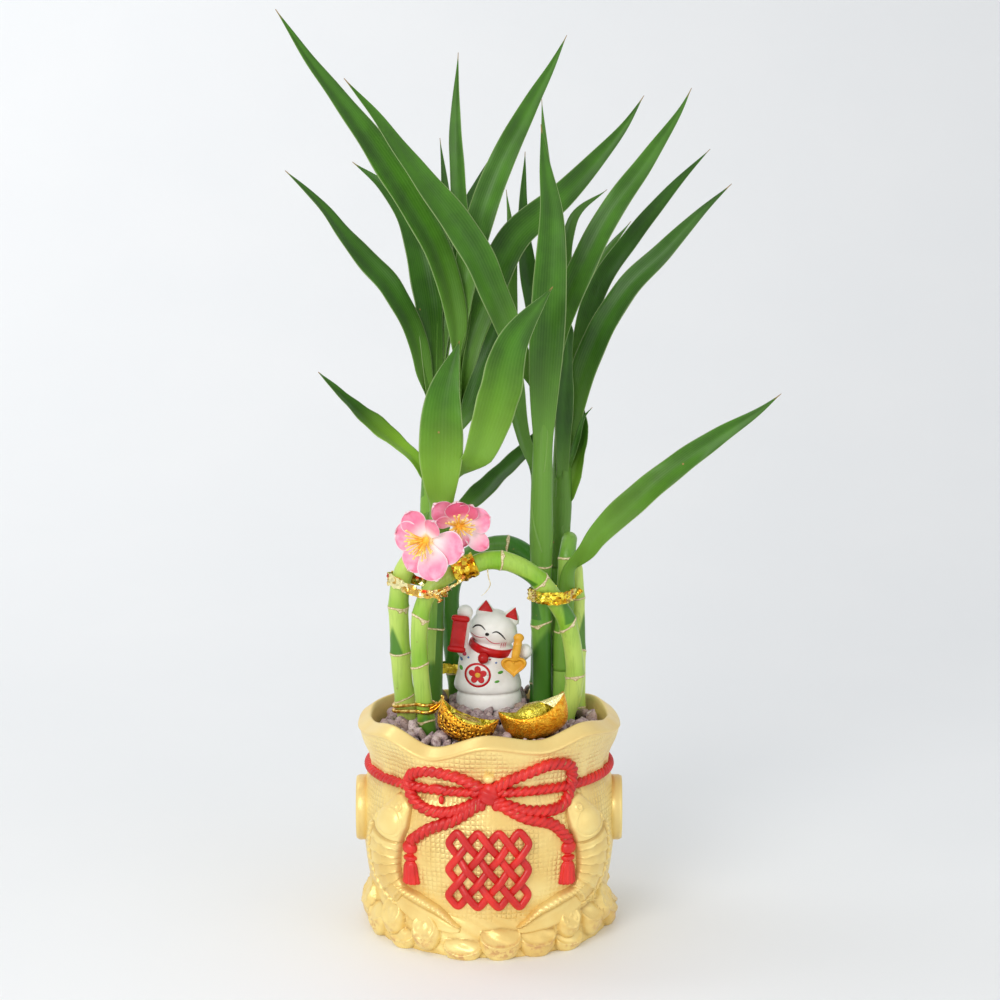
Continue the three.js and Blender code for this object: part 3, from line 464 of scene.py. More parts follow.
def gold_paint():
    """Satin gold paint on fired clay, woven as sackcloth where the mark says so."""
    shader = Shader("gold_paint", Metallic=0.3)
    weave_pitch = 2.3
    along = shader.mark("round") * (math.pi / weave_pitch)
    up = shader.axis(2) * (math.pi / (weave_pitch * MM))
    waver = shader.noise(7, 3) * 2.2
    square = abs((along + waver).sine()) * abs((up + waver * 0.8).sine())
    cloth = shader.mark("cloth") * shader.noise(16, 3).rise(0.3, 0.62)
    pillow = square ** 0.6 * cloth * (0.4 + shader.noise(3.1, 2) * 1.2)
    grain = shader.noise(1.1, 4, 0.6)
    patch = shader.noise(22, 4)
    colour = shader.blend(patch.rise(0.3, 0.7), paint("f8e093"), paint("ebc978"))
    # Painted shade: the gaps between the woven squares are darkened.
    colour = shader.blend((1 - square.rise(0, 0.35)) * cloth * 0.13, colour, paint("b98c42"))
    # Painted shade: the "low" mark darkens recesses, along the rope, round the reliefs, in the coin holes and
    # in the heap's creases.
    colour = shader.blend(shader.mark("low") * 0.85, colour, paint("a87628"))
    # Painted light: the neck above the rope is lightened.
    colour = shader.blend(shader.axis(2).rise(72 * MM, 80 * MM) * 0.3, colour, paint("ffe9a4"))
    colour = shader.blend(shader.mark("lip") * 0.3, colour, paint("e2bb6c"))
    colour = shader.blend(shader.mark("worn") * shader.noise(2.4, 4).rise(0.42, 0.6), colour, paint("d09c66"))
    normal = shader.bump(pillow, 0.5, 0.9)
    normal = shader.bump(grain, 0.14, 0.55, normal)
    return shader.wear(Base_Color=colour, Roughness=0.28 + grain * 0.16, Normal=normal)


def red_paint():
    """Brushed red enamel; the gold shows in the deepest grooves of the rope, and painted shade darkens the
    grooves.
    """
    shader = Shader("red_paint")
    bare = (shader.mark("groove") * shader.noise(3, 3).rise(0.42, 0.62)).rise(0.55, 0.8)
    streak = shader.noise(1.5, 4, 0.6)
    colour = shader.blend(shader.noise(9, 3).rise(0.35, 0.65), paint("df2a22"), paint("c61b1a"))
    colour = shader.blend(bare, colour, paint("dcb062"))
    # Painted shade in the rope's grooves.
    colour = shader.blend(shader.mark("groove").rise(0.35, 1) * 0.5, colour, paint("7d0c10"))
    normal = shader.bump(streak, 0.12, 0.6)
    return shader.wear(Base_Color=colour, Roughness=0.26 + streak * 0.22, Normal=normal)


def cane_skin(name, pale, green, dark):
    """Waxy bamboo skin: lengthwise streaks, dark sheath remains, cream scars with a brown edge."""
    shader = Shader(name, Specular_IOR_Level=0.35, Coat_Weight=0.12, Coat_Roughness=0.25)
    streak = shader.noise(1.3, 3, 0.6, (1, 1, 0.06))
    soft = shader.noise(14, 3, 0.5, (1, 1, 0.5))
    scar = shader.mark("scar")
    colour = shader.blend((shader.mark("young") + soft * 0.5 - 0.25).rise(0, 0.95), green, pale)
    colour = shader.blend(streak.rise(0.45, 0.8) * 0.3, colour, dark)
    colour = shader.blend(shader.mark("sheath").rise(-0.12, 0.12) * 0.88, colour, dark)
    colour = shader.blend(scar.rise(0.15, 0.4) * 0.8, colour, paint("8c7444"))
    paper = shader.blend(shader.noise(0.8, 3).rise(0.35, 0.7), paint("ece0b8"), paint("bfa871"))
    colour = shader.blend(scar.rise(0.5, 0.75), colour, paper)
    fleck = shader.cells(5.5).rise(0.13, 0.06) * shader.noise(2, 2).rise(0.5, 0.6)
    colour = shader.blend(fleck * 0.5, colour, paint("8a7a3c"))
    fibre = shader.noise(0.5, 3, 0.6, (1, 1, 0.05))
    rough = 0.3 + streak * 0.14 + scar * 0.3
    return shader.wear(Base_Color=colour, Roughness=rough, Normal=shader.bump(fibre, 0.1, 0.5))


def leaf_skin(name, upper, light, under):
    """Leaf: soft lengthwise streaks, a thin pale margin, paler at its foot and underneath, with a dry tip."""
    shader = Shader(name, Specular_IOR_Level=0.3, Coat_Weight=0.04, Coat_Roughness=0.3)
    across = shader.mark("across")
    along = shader.mark("along")
    vein = (across * 40).sine() * 0.5 + 0.5
    band = (across * 4.5 + shader.mark("tint") * 9).sine() * 0.5 + 0.5
    patch = shader.noise(16, 4)
    colour = shader.blend((patch.rise(0.3, 0.75) * 0.55 + band * 0.35), upper, light)
    colour = shader.blend(shader.mark("young"), colour, paint("8dbd33"))
    colour = shader.blend(shader.mark("foot") * 0.55, colour, paint("7fae45"))
    colour = shader.blend(shader.mark("under") * 0.75, colour, under)
    colour = shader.blend(vein * 0.07, colour, paint("86b04e"))
    margin = abs(across).rise(0.92, 0.99) * (0.4 - shader.mark("foot") * 0.3)
    colour = shader.blend(margin, colour, paint("c6d79a"))
    dry = (along + shader.noise(3, 3) * 0.03).rise(0.985, 1.01)
    spot = shader.cells(21).rise(0.03, 0.015)
    colour = shader.blend(dry.most(spot), colour, paint("9a7a45"))
    relief = vein * 0.5 + shader.noise(0.7, 3) * 0.3
    normal = shader.bump(relief, 0.12, 0.4)
    return shader.wear(Base_Color=colour, Roughness=0.36 + patch * 0.16, Normal=normal)


def stone_skin():
    """Broken lava stone, each with a tint of its own."""
    shader = Shader("mauve_stone")
    tint = shader.mark("tint")
    grain = shader.noise(1.2, 5, 0.65)
    pits = shader.cells(0.9)
    colour = shader.blend(tint, paint("ab969a"), paint("dccbc6"))
    colour = shader.blend(shader.noise(2.6, 4).rise(0.35, 0.7), colour, paint("94797e"))
    colour = shader.blend((tint * 7).sine().rise(0.6, 1) * 0.55, colour, paint("b39a86"))
    colour = shader.blend(pits.rise(0.32, 0.12) * 0.7, colour, paint("4d3c42"))
    normal = shader.bump(grain + pits.rise(0, 0.4), 0.35, 0.9)
    return shader.wear(Base_Color=colour, Roughness=0.85 + grain * 0.1, Normal=normal)


def soil():
    shader = Shader("dark_soil", Roughness=0.95)
    grain = shader.noise(1.5, 5, 0.7)
    colour = shader.blend(grain, paint("1d1413"), paint("4a3833"))
    return shader.wear(Base_Color=colour, Normal=shader.bump(grain, 0.8, 1))


def crinkled_foil(name, bright, deep, crease, depth):
    """Metal foil with sharp creases between small flat facets, each painted lighter or darker as its own
    reflection.
    """
    shader = Shader(name, Metallic=1.0)
    facet = shader.cells(crease, "F1", "Color")
    fold = shader.cells(crease * 1.7, "DISTANCE_TO_EDGE").rise(0, 0.3)
    small = shader.noise(crease * 1.2, 2, 0.5)
    # Painted reflection: each facet takes its own share between the bright and the deep colour.
    colour = shader.blend((facet + 0).rise(0.42, 0.72) * 0.9, bright, deep)
    colour = shader.blend(shader.mark("red"), colour, paint("d63a18"))
    return shader.wear(Base_Color=colour, Roughness=0.12 + small * 0.2,
                       Normal=shader.bump(facet * 0.8 + fold * 0.6 + small * 0.6, depth, 0.9))


def polished_wire():
    shader = Shader("polished_wire", Metallic=1.0)
    tone = shader.noise(2.5, 2)
    colour = shader.blend(tone.rise(0.4, 0.6), paint("ffe07a"), paint("c98a1e"))
    return shader.wear(Base_Color=colour, Roughness=0.1 + tone * 0.1, Normal=shader.bump(tone, 0.3, 0.5))


def petal_silk():
    """Silk petal: pink from the rim, white towards the foot and along the edge."""
    shader = Shader("petal_silk", Sheen_Weight=0.15, Sheen_Roughness=0.5)
    along = shader.mark("along")
    edge = shader.mark("edge")
    mottle = shader.noise(3.5, 3)
    pink = shader.blend(mottle.rise(0.3, 0.7), paint("f389ab"), paint("fab3c9"))
    # Painted shade: the "deep" mark darkens the pink and narrows the white on petals that face down.
    pink = shader.blend(shader.mark("deep"), pink, paint("e2507f"))
    white = (along + mottle * 0.22 + shader.mark("deep") * 0.25).rise(0.78, 0.3)
    colour = shader.blend(white * 0.92, pink, paint("fdeeee"))
    colour = shader.blend(edge.rise(0.88, 1) * 0.75, colour, paint("fdf0f2"))
    colour = shader.blend(along.rise(0.14, 0.02) * 0.8, colour, paint("f7cf66"))
    weave = shader.noise(0.6, 2) + (shader.mark("across") * 14).sine() * 0.4
    normal = shader.bump(weave, 0.12, 0.5)
    return shader.wear(Base_Color=colour, Roughness=0.62 + mottle * 0.15, Normal=normal)


def stamen_thread():
    shader = Shader("stamen_thread", Roughness=0.55)
    tone = shader.noise(2, 3)
    colour = shader.blend(tone.rise(0.35, 0.65), paint("ffd84e"), paint("f6b02a"))
    colour = shader.blend(shader.mark("tip") * 0.7, colour, paint("ffeb9c"))
    return shader.wear(Base_Color=colour, Normal=shader.bump(tone, 0.1, 0.4))


def glazed(name, first, second, roughness, grain_size=2.5, depth=0.08):
    """Painted resin: a near-even colour with slight brushing and a soft gloss."""
    shader = Shader(name, Specular_IOR_Level=0.35, Coat_Weight=0.1, Coat_Roughness=0.15)
    tone = shader.noise(grain_size * 3, 3)
    grain = shader.noise(grain_size, 4, 0.55)
    colour = shader.blend(tone.rise(0.3, 0.7), first, second)
    # Painted shade: the "low" mark greys the glaze in creases.
    colour = shader.blend(shader.mark("low") * 0.5, colour, paint("b9b2aa"))
    normal = shader.bump(grain, depth, 0.5)
    return shader.wear(Base_Color=colour, Roughness=roughness + grain * 0.12, Normal=normal)


def gold_foil(name, is_embossed):
    """Bright foil over a moulded ingot, embossed with knobs or rubbed and dented; its dome is greener."""
    shader = Shader(name, Metallic=0.85)
    dents = shader.noise(1.6, 4, 0.6)
    if is_embossed:
        knob = shader.cells(1.7, random=0.5).rise(0.62, 0.16)
        worm = abs(shader.noise(2.2, 2) - 0.5).rise(0.12, 0.02)
        side = shader.mark("side")
        pattern = (knob * 0.7 + worm * 0.5) * side + shader.cells(1.6).rise(0, 0.5) * (1 - side)
    else:
        pattern = shader.noise(0.8, 3).rise(0.35, 0.65) * 0.4 + 0.5
    shade = (1 - pattern.rise(0.1, 0.6)) * (0.9 if is_embossed else 0.5)
    colour = shader.blend(dents.rise(0.35, 0.65), paint("ffc840"), paint("ea9418"))
    crumple = shader.cells(2.2, "F1", "Color") if is_embossed else shader.noise(1.3, 4, 0.65)
    dome = shader.blend((crumple + 0).rise(0.35, 0.7), paint("eee05c"), paint("a8920f"))
    colour = shader.blend(shader.mark("top"), colour, dome)
    colour = shader.blend(shader.mark("flap"), colour, paint("fdf5b4"))
    colour = shader.blend(shade * (1 - shader.mark("top")), colour, paint("5e2603"))
    # Painted shade in the valley between the rim and the dome.
    colour = shader.blend(shader.mark("fold") * 0.7, colour, paint("5e2603"))
    normal = shader.bump(pattern, 0.6 if is_embossed else 0.2, 0.9)
    normal = shader.bump(dents + crumple * shader.mark("top"), 0.35 if is_embossed else 0.18, 0.7, normal)
    return shader.wear(Base_Color=colour, Roughness=0.16 + dents * 0.2, Normal=normal)


def pale_floor():
    shader = Shader("pale_floor", Roughness=0.6)
    tone = shader.noise(160, 2)
    return shader.wear(Base_Color=shader.blend(tone, paint("eceef0"), paint("f1f2f3")))


def lay_floor():
    """Sheet that lies flat under the pot and bends up behind it."""
    reach, depth, bend, height = 2500, 420, 1300, 2600
    profile = [(-reach, 0), (depth, 0)]
    for step in range(1, 25):
        angle = step / 24 * math.pi / 2
        profile.append((depth + bend * math.sin(angle), bend * (1 - math.cos(angle))))
    profile.append((depth + bend, height))
    rows = np.array([[(x, y, z) for x in (-reach, reach)] for y, z in profile], float)
    form = Form().add(rows, grid_faces(len(profile), 2))
    floor = bpy.data.objects.new("floor", mesh_of("floor", form))
    floor.data.materials.append(pale_floor())
    bpy.context.scene.collection.objects.link(floor)


# Pot

POT_HEIGHT = 98
POT_FLOOR = 8
CAVITY_RADIUS = 50.5
CAVITY_SHOULDER = 86
POT_PROFILE = [(0, 53.5), (5, 54.6), (12, 54.4), (18, 54.6), (28, 56.4), (44, 58), (58, 58.2), (68, 56.6),
               (74, 54.9), (81, 55.4), (87, 58), (92, 59.4), (98, 59.4)]
LIP_WAVE = [(-180, 95), (-152, 96), (-128, 98.6), (-106, 98.8), (-90, 97.4), (-72, 98), (-50, 101),
            (-27, 94.4), (0, 101.5), (24, 98), (46, 103), (74, 98.8), (90, 97.4), (116, 99.2), (150, 96),
            (180, 95)]
ROPE_LEVEL = 74.4
POT_ROUND = 57
RELIEF_ROOT = 2
potline = Course([(r, z) for z, r in POT_PROFILE], 12).points


def pot_radius(z):
    return np.interp(z, potline[:, 1], potline[:, 0])


def on_pot(degrees, z, proud=0.0):
    """Point on the pot's outside, by degrees from the front, height and how far it stands proud."""
    turn = np.radians(degrees)
    reach = pot_radius(z) + proud
    return xyz(reach * np.sin(turn), -reach * np.cos(turn), np.asarray(z, float))


def pot_normal(degrees, z):
    turn = np.radians(degrees)
    slope = (pot_radius(np.asarray(z) + 1) - pot_radius(np.asarray(z) - 1)) / 2
    return unit(xyz(np.sin(turn), -np.cos(turn), -slope))


def gathers(degrees, z):
    """Small pleats that the rope draws in the cloth, above and below it."""
    near = np.exp(-((z - ROPE_LEVEL) / 7) ** 2)
    pleat = np.sin(np.radians(degrees * 23)) + 0.6 * np.sin(np.radians(degrees * 37 + 40))
    drape = np.sin(np.radians(degrees * 9 + 20)) * smooth(76, 84, z) * (1 - smooth(90, 98, z))
    return 0.35 * near * pleat + 0.45 * drape


def pot_wall():
    columns = 360
    degrees = np.linspace(-180, 180, columns, endpoint=False)
    lip = eased(LIP_WAVE, degrees)
    flare = 0.35 * (lip - POT_HEIGHT)
    rings = []
    marks = []
    for z in np.linspace(0, 92.4, 78):
        height = z + (lip - POT_HEIGHT) * smooth(60, 93, z)
        reach = pot_radius(z) + flare * smooth(78, 98, z) + gathers(degrees, z)
        rings.append((reach, height))
        marks.append((smooth(4, 8, z) * (1 - smooth(91, 92.4, z)), 0.6 * smooth(91.4, 92.4, z)))
    outer = pot_radius(POT_HEIGHT) + flare
    rim = [(0.7, -5.2), (1.1, -4.7), (1.1, -4.1), (0.6, -3.5), (-0.4, -2.8), (-1.6, -1.9), (-2.8, -1),
           (-3.9, -0.2), (-4.7, 0), (-5.2, -0.6)]
    for out, up in rim:
        rings.append((outer + out, lip + up))
        marks.append((0, 1))
    for share in np.linspace(0.12, 1, 8):
        inner = outer - 5.2
        rings.append((inner + (CAVITY_RADIUS - inner) * share, lip - 0.6 + (CAVITY_SHOULDER - lip) * share))
        marks.append((0, 1))
    rings.append((CAVITY_RADIUS, POT_FLOOR + 0 * lip))
    marks.append((0, 1))
    turn = np.radians(degrees)
    skin = np.array([xyz(r * np.sin(turn), -r * np.cos(turn), z) for r, z in rings])
    points, faces = closed_skin(skin)
    ends = [0, 0]
    cloth = np.concatenate([np.repeat([m[0] for m in marks], columns), ends])
    lip_mark = np.concatenate([np.repeat([m[1] for m in marks], columns), ends])
    around = np.concatenate([np.tile(turn * POT_ROUND, len(rings)), ends])
    rope_shade = np.exp(-((points[:, 2] - ROPE_LEVEL) / 3.2) ** 2) * 0.6
    low = np.where(cloth > 0, rope_shade, 0)
    form = Form().add(points, faces, cloth=cloth, lip=lip_mark, round=around, low=low)
    points, faces = ball((0, 0, 0), (2.6, 2.4, 2.1), across=28, down=18)
    return form.add(points + on_pot(0, 82.2, 0.6), faces, cloth=0, lip=0, round=0, low=0)


class Relief:
    """Patch of raised ground on the pot along stops of degrees, height, half width and rise."""

    def __init__(self, side, stops, rows, columns):
        stops = np.array(stops, float)
        flat = np.stack([side * np.radians(stops[:, 0]) * POT_ROUND, stops[:, 1]], -1)
        self.course = Course(flat)
        self.shares = np.linspace(0, 1, rows)
        knots = [np.argmin(np.linalg.norm(self.course.points - p, axis=1)) for p in flat]
        at = self.course.run[knots] / self.course.length
        self.half = np.interp(self.shares, at, stops[:, 2])[:, None]
        self.rise = np.interp(self.shares, at, stops[:, 3])[:, None]
        self.along = (self.shares * self.course.length)[:, None]
        self.q = np.linspace(-1, 1, columns)[None, :]
        middle = self.course.at(self.shares)
        heading = self.course.heading(self.shares)
        across = np.stack([-heading[:, 1], heading[:, 0]], -1) * side
        self.flat = middle[:, None, :] + across[:, None, :] * (self.q * self.half)[..., None]

    def skin(self, height):
        """Closed slab from the raised ground down into the wall."""
        degrees = np.degrees(self.flat[..., 0] / POT_ROUND)
        z = self.flat[..., 1]
        edge = np.minimum(1 - abs(self.q), np.minimum(self.shares, 1 - self.shares)[:, None] * 6)
        lift = height * smooth(0, 0.16, edge) - 0.7 * (1 - smooth(0, 0.12, edge))
        points, faces = slab(on_pot(degrees, z, lift), on_pot(degrees, z, -RELIEF_ROOT))
        # Painted shade where the relief meets the wall.
        low = np.concatenate([(1 - smooth(0, 0.22, edge)).ravel()] * 2) * 0.8
        return points, faces, low


def scales(along, across, pitch):
    """Sawtooth height, 0 to 2, of round scales that overlap like tiles towards the tail."""
    row = np.floor(along / pitch)
    reach = 1.22 * pitch
    heights = []
    for back in (1, 0):
        root = (row - back) * pitch
        shift = ((row - back) % 2) * pitch / 2
        middle = np.round((across - shift) / pitch) * pitch + shift
        distance = np.hypot(along - root, (across - middle) * 1.15)
        heights.append(distance / reach)
    return np.where(heights[0] < 1, heights[0] + 0.55, heights[1])


def carp(side):
    """Leaping fish: smooth head and gill cover, scaled flank, ribbed back fin and a sweeping tail."""
    form = Form()
    back = [(38, 73, 3.2, 1.4), (41, 68, 6, 3), (44.5, 61, 9, 4.6), (50, 52, 11, 5.6), (52.5, 40, 11, 5.2),
            (49, 29, 9, 4.6), (42, 22.5, 6.5, 3.4)]
    body = Relief(side, back, 156, 50)
    s, q, along = body.shares[:, None], body.q, body.along
    dome = body.rise * (1 - abs(q) ** 2.6) ** 0.6
    gill_end = 0.36 + 0.06 * (1 - q * q)
    flank = smooth(gill_end, gill_end + 0.015, s)
    egg = ((s - 0.27) / 0.1) ** 2 + ((q - 0.05) / 0.72) ** 2
    cover = 1.3 * np.sqrt(np.clip(1 - egg, 0, 1)) + 0.5 * np.exp(-((egg - 1.25) / 0.14) ** 2) * (1 - flank)
    tiles = 0.75 * (scales(along, q * body.half, 5.4) - 0.6) * flank * (1 - smooth(0.5, 0.66, q))
    fin = smooth(0.58, 0.7, q) * smooth(0.25, 0.4, s) * (1 + 0.4 * np.sin(along * 2 * np.pi / 2.2 + q * 3))
    eye_distance = np.hypot((s - 0.13) * body.course.length, (q + 0.1) * body.half)
    eye = 0.9 * np.exp(-((eye_distance - 1.3) / 0.5) ** 2) + 0.6 * np.exp(-(eye_distance / 0.7) ** 2)
    mouth = -0.9 * np.exp(-((s - 0.05 - 0.03 * q * q) / 0.012) ** 2)
    crease = -1.0 * np.exp(-((s - gill_end) / 0.014) ** 2) - 0.8 * np.exp(-((q - 0.56) / 0.05) ** 2) * flank
    points, faces, low = body.skin(dome + cover + tiles + fin + eye + mouth + crease)
    shade = np.clip(-(mouth + crease) + flank * (0.12 - tiles * 0.5) * (q < 0.55), 0, 0.6)
    shade = np.concatenate([shade.ravel()] * 2)
    form.add(points, faces, low=np.maximum(low * 0.8, shade))
    sweep = [(50, 31, 4, 3), (45, 25, 6.4, 4.2), (35, 20.5, 8, 4.4), (25, 17, 6.6, 3.6), (17, 13.6, 3.2, 2.8),
             (12.5, 12.6, 1.4, 1.6)]
    tail = Relief(side, sweep, 96, 36)
    q, along = tail.q, tail.along
    ridge = np.exp(-((q + 0.62) / 0.2) ** 2)
    ribs = 0.35 * np.sin(along * 2 * np.pi / 2.4 + q * 6) * smooth(-0.3, -0.5, q)
    bowl = tail.rise * (0.62 + 0.25 * q * q)
    fall = bowl + (1.3 + ribs) * ridge - 1.2 * np.exp(-((q + 0.2) / 0.12) ** 2) * 0.4
    points, faces, low = tail.skin(fall * (1 - abs(q) ** 8))
    # Painted shade along the groove of the tail.
    groove = 0.45 * np.exp(-((q + 0.3) / 0.12) ** 2) + 0 * along
    form.add(points, faces, low=np.maximum(low * 0.8, np.concatenate([groove.ravel()] * 2)))
    return form


def coin_face(radius, rise):
    """Polar patch of an old coin in its own frame, facing Z: raised rim, bare field and a square hole."""
    rings, sides, hole = 40, 96, 0.24
    share = np.linspace(0.004, 1, rings)[:, None]
    turn = circle(sides)[None, :]
    x, y = share * np.cos(turn), share * np.sin(turn)
    square = np.maximum(abs(x), abs(y))
    rim = smooth(0.76, 0.82, share) * (1 - 0.9 * smooth(0.93, 1, share) ** 2)
    frame_band = smooth(hole, hole + 0.05, square) * (1 - smooth(hole + 0.12, hole + 0.18, square))
    well = 1 - smooth(hole - 0.05, hole + 0.01, square)
    height = rise * (0.42 + 0.58 * rim + 0.45 * frame_band - 0.3 * well)
    top = np.stack([radius * x, radius * y, height], -1)
    wall = np.stack([radius * x[-1], radius * y[-1], np.full(sides, -5.0)], -1)
    points, faces = closed_skin(np.concatenate([top, wall[None]]))
    # Painted shade in the square hole and on the field inside the rim.
    low = np.concatenate([(0.8 * well + 0.25 * (1 - rim) * (1 - frame_band)).ravel(), np.zeros(sides + 2)])
    return points, faces, low


def set_on_pot(points, degrees, z):
    """Points of a form that faces Z, turned to face out of the pot."""
    turn = math.radians(degrees)
    stood = turned(points, (90, 0, degrees))
    reach = pot_radius(z)
    return stood + np.array([reach * math.sin(turn), -reach * math.cos(turn), z])


def side_coin(degrees, z, radius, rise):
    points, faces, low = coin_face(radius, rise)
    return Form().add(set_on_pot(points, degrees, z), faces, low=low)


def boat(length, width, height, dome, sides, rows):
    """Boat-shaped ingot: oval rings from its foot over its rim to the dome in its middle."""
    stops = [(0.34, 0.42, 0, 0), (0.5, 0.6, 0.02, 0), (0.86, 0.94, 0.22, 0), (0.98, 1, 0.46, 0.12),
             (1, 0.96, 0.69, 0.32), (0.97, 0.89, 0.72, 0.33), (0.9, 0.78, 0.66, 0.27),
             (0.7, 0.68, 0.52, 0.06), (0.64, 0.66, 0.58, 0.02), (0.53, 0.57, (0.62 + dome) / 2 + 0.05, 0),
             (0.28, 0.32, dome, 0)]
    course = Course(stops, rows)
    along, across, z, lift = course.points.T[:, :, None]
    turn = circle(sides)[None, :]
    end = abs(np.cos(turn)) ** 2.5
    sideways = width / 2 * across * np.sin(turn) * (1 - 0.3 * end)
    return np.stack([length / 2 * along * np.cos(turn), sideways, height * (z + lift * end)], -1)


# Heap round the foot: kind of lump, degrees from the front, middle height, half width, half height, bulge
HEAP = [("boat", 5.5, 8.2, 9.6, 9.8, 6.2), ("boat", -12, 4.2, 9, 6.6, 5.6), ("boat", 23, 7.6, 8.8, 9, 5.6),
        ("coin", -30, 9.6, 7.4, 8.6, 5.8), ("coin", 39.5, 12.6, 6.4, 7.6, 5.4), ("boat", 40, 4.6, 8, 6.4, 5),
        ("coin", -50, 12.6, 7.6, 9, 5.6), ("boat", -44, 5, 7.6, 6.6, 5), ("boat", 56, 12, 7.6, 10, 5.6),
        ("coin", 68, 14, 7.4, 9, 5.4), ("boat", -64, 10, 8, 11, 5.8), ("coin", -78, 13.4, 8, 9.4, 5.2),
        ("boat", 80, 8, 8, 10, 5.4)]
HEAP_REAR = [("coin" if i % 2 else "boat", 95 + 17 * i, 12.5 if i % 2 else 8, 8.6, 9.4, 5.4)
             for i in range(11)]
HEAP_ROUND = 56
HEAP_TOP = 25


def heap_lump(kind, across, up, wide, high, bulge):
    """Height of one lump over the wall: a round hull cut by a slanting face, and what lies on the face."""
    reach = np.hypot(across / wide, up / high)
    hull = bulge * np.sqrt(np.clip(1 - reach ** 2, 0, 1)) ** 0.8
    cut = 0.62 * bulge - 0.85 * (up - 0.05 * high) if kind == "boat" else 0.86 * bulge - 0.34 * up
    top = hull - cut
    rim = 0.5 * np.exp(-(top / 0.5) ** 2)
    spread = np.clip(top / bulge, 0, 1)
    if kind == "coin":
        dots = 0
        for angle in (k * 1.2566 for k in range(5)):
            sideways = across / wide - 0.42 * math.sin(angle)
            upward = up / high - 0.1 - 0.36 * math.cos(angle)
            dots = dots + np.exp(-(sideways ** 2 + upward ** 2) / 0.012)
        face = cut + 0.55 * dots - 0.25
    else:
        off_dome = (across / (0.5 * wide)) ** 2 + ((up - 0.42 * high) / (0.3 * high)) ** 2
        face = cut + 1.5 * np.exp(-off_dome) - 0.5 * smooth(0, 0.15, spread)
    height = np.where(top > 0, np.minimum(face, hull), hull) + rim * (reach < 0.93)
    return np.where(reach < 1, height, -1)


def foot_heap():
    """Coins and ingots heaped round the foot, cast in one with it."""
    degrees = np.linspace(-180, 180, 920, endpoint=False)[None, :]
    z = np.linspace(0, HEAP_TOP, 58)[:, None]
    layers = [0 * degrees + 0.5 * (1 - smooth(12, 22, z)) - 2.4 * smooth(18, HEAP_TOP, z)]
    for kind, middle, level, wide, high, bulge in HEAP + HEAP_REAR:
        across = np.radians((degrees - middle + 180) % 360 - 180) * HEAP_ROUND
        layers.append(heap_lump(kind, across, z - level, wide, high, bulge))
    layers = np.sort(np.stack(np.broadcast_arrays(*layers)), 0)
    height = layers[-1]
    crease = np.exp(-(height - layers[-2]) / 0.45)
    reach = np.minimum(54.4 + height + 0.25 * np.sin(np.radians(degrees * 31) + z), 60.8)
    turn = np.radians(degrees)
    inner = 51.5 + 0 * degrees
    radius = np.concatenate([inner, reach, inner])
    level = np.concatenate([0 * inner, z + 0 * degrees, HEAP_TOP + 0 * inner])
    skin = np.stack([radius * np.sin(turn), -radius * np.cos(turn), level], -1)
    rows, columns, _ = skin.shape
    faces = grid_faces(rows, columns, True)
    last = (rows - 1) * columns
    faces += [[last + j, last + (j + 1) % columns, (j + 1) % columns, j] for j in range(columns)]
    edge = np.zeros((1, columns))
    # Painted shade in the creases between the lumps.
    low = np.concatenate([edge, 0.85 * crease, edge])
    worn = np.concatenate([edge, smooth(3.5, 5.5, height) * (1 - smooth(5, 13, z)) * 0.8, edge])
    return Form().add(skin.reshape(-1, 3), faces, low=low.ravel(), worn=worn.ravel())


ROPE_LAY = 9.6
ROPE_STRANDS = 3


def twisted(share, turn, length, radius):
    """Radius of a laid rope, and how deep in a groove the point lies."""
    phase = turn * ROPE_STRANDS + share * length / ROPE_LAY * 2 * np.pi * ROPE_STRANDS
    bulge = abs(np.cos(phase / 2)) ** 0.7
    return radius * (0.6 + 0.44 * bulge), (1 - bulge) ** 1.3


def pot_rope(form, stops, radius, proud=0.35):
    """Stretch of rope cast on the pot through stops of degrees and height."""
    stops = np.array(stops, float)
    flat = Course(np.stack([np.radians(stops[:, 0]) * POT_ROUND, stops[:, 1]], -1))
    count = max(int(flat.length / 2.5), 4)
    line = flat.at(np.linspace(0, 1, count))
    route = Course(on_pot(np.degrees(line[:, 0] / POT_ROUND), line[:, 1], proud), 6)
    shape = lambda share, turn: twisted(share, turn, route.length, radius)[0]
    front = on_pot(*stops[0], 1) - on_pot(*stops[0])
    points, faces, share, turn = tube(route, int(route.length / 0.52), 20, shape, front=front)
    form.add(points, faces, groove=twisted(share, turn, route.length, radius)[1])


def tassel(form, middle):
    """Bead, knot and cut skirt at the end of a rope's tail."""
    outline = [(0.4, 51.8), (1.6, 51.3), (2.9, 50), (3.3, 48.2), (2.8, 46.4), (1.5, 45.3), (1.7, 44.9),
               (2.9, 44.2), (2.9, 43), (2.0, 42), (2.7, 40.8), (3.1, 38), (3.4, 34.5), (3.6, 31.8),
               (2.4, 31.2), (0.4, 31.4)]
    course = Course(outline, 5).points
    turn = circle(44)
    width, z = course[:, :1], course[:, 1:]
    ribs = 1 + 0.09 * np.sin(turn * 11) * (1 - smooth(39, 42, z))
    sideways = width * 1.12 * np.cos(turn) * ribs
    outward = width * 0.95 * np.sin(turn) * ribs
    degrees = middle + np.degrees(sideways / POT_ROUND)
    rings = on_pot(degrees, z + 0 * turn, outward)
    points, faces = closed_skin(rings)
    groove = np.concatenate([(0.4 * (1 - ribs) / 0.09 * (ribs < 1)).ravel(), [0, 0]])
    form.add(points, faces, groove=np.clip(groove, 0, 1))


BOW = {
    "left_loop": [(-2, 77), (-16, 83), (-29, 84), (-38.5, 79.5), (-38.5, 73), (-31, 67.5), (-18, 66.5),
                  (-2, 73)],
    "right_loop": [(2, 77.5), (16, 84), (29, 87.5), (39.5, 84), (41, 77), (35, 68), (19, 67), (2, 72.5)],
    "left_tail": [(-2, 72.5), (-15, 63.5), (-27, 58), (-35.5, 51.5)],
    "right_tail": [(2, 72.5), (16, 64.5), (29, 60), (37, 51.5)],
}


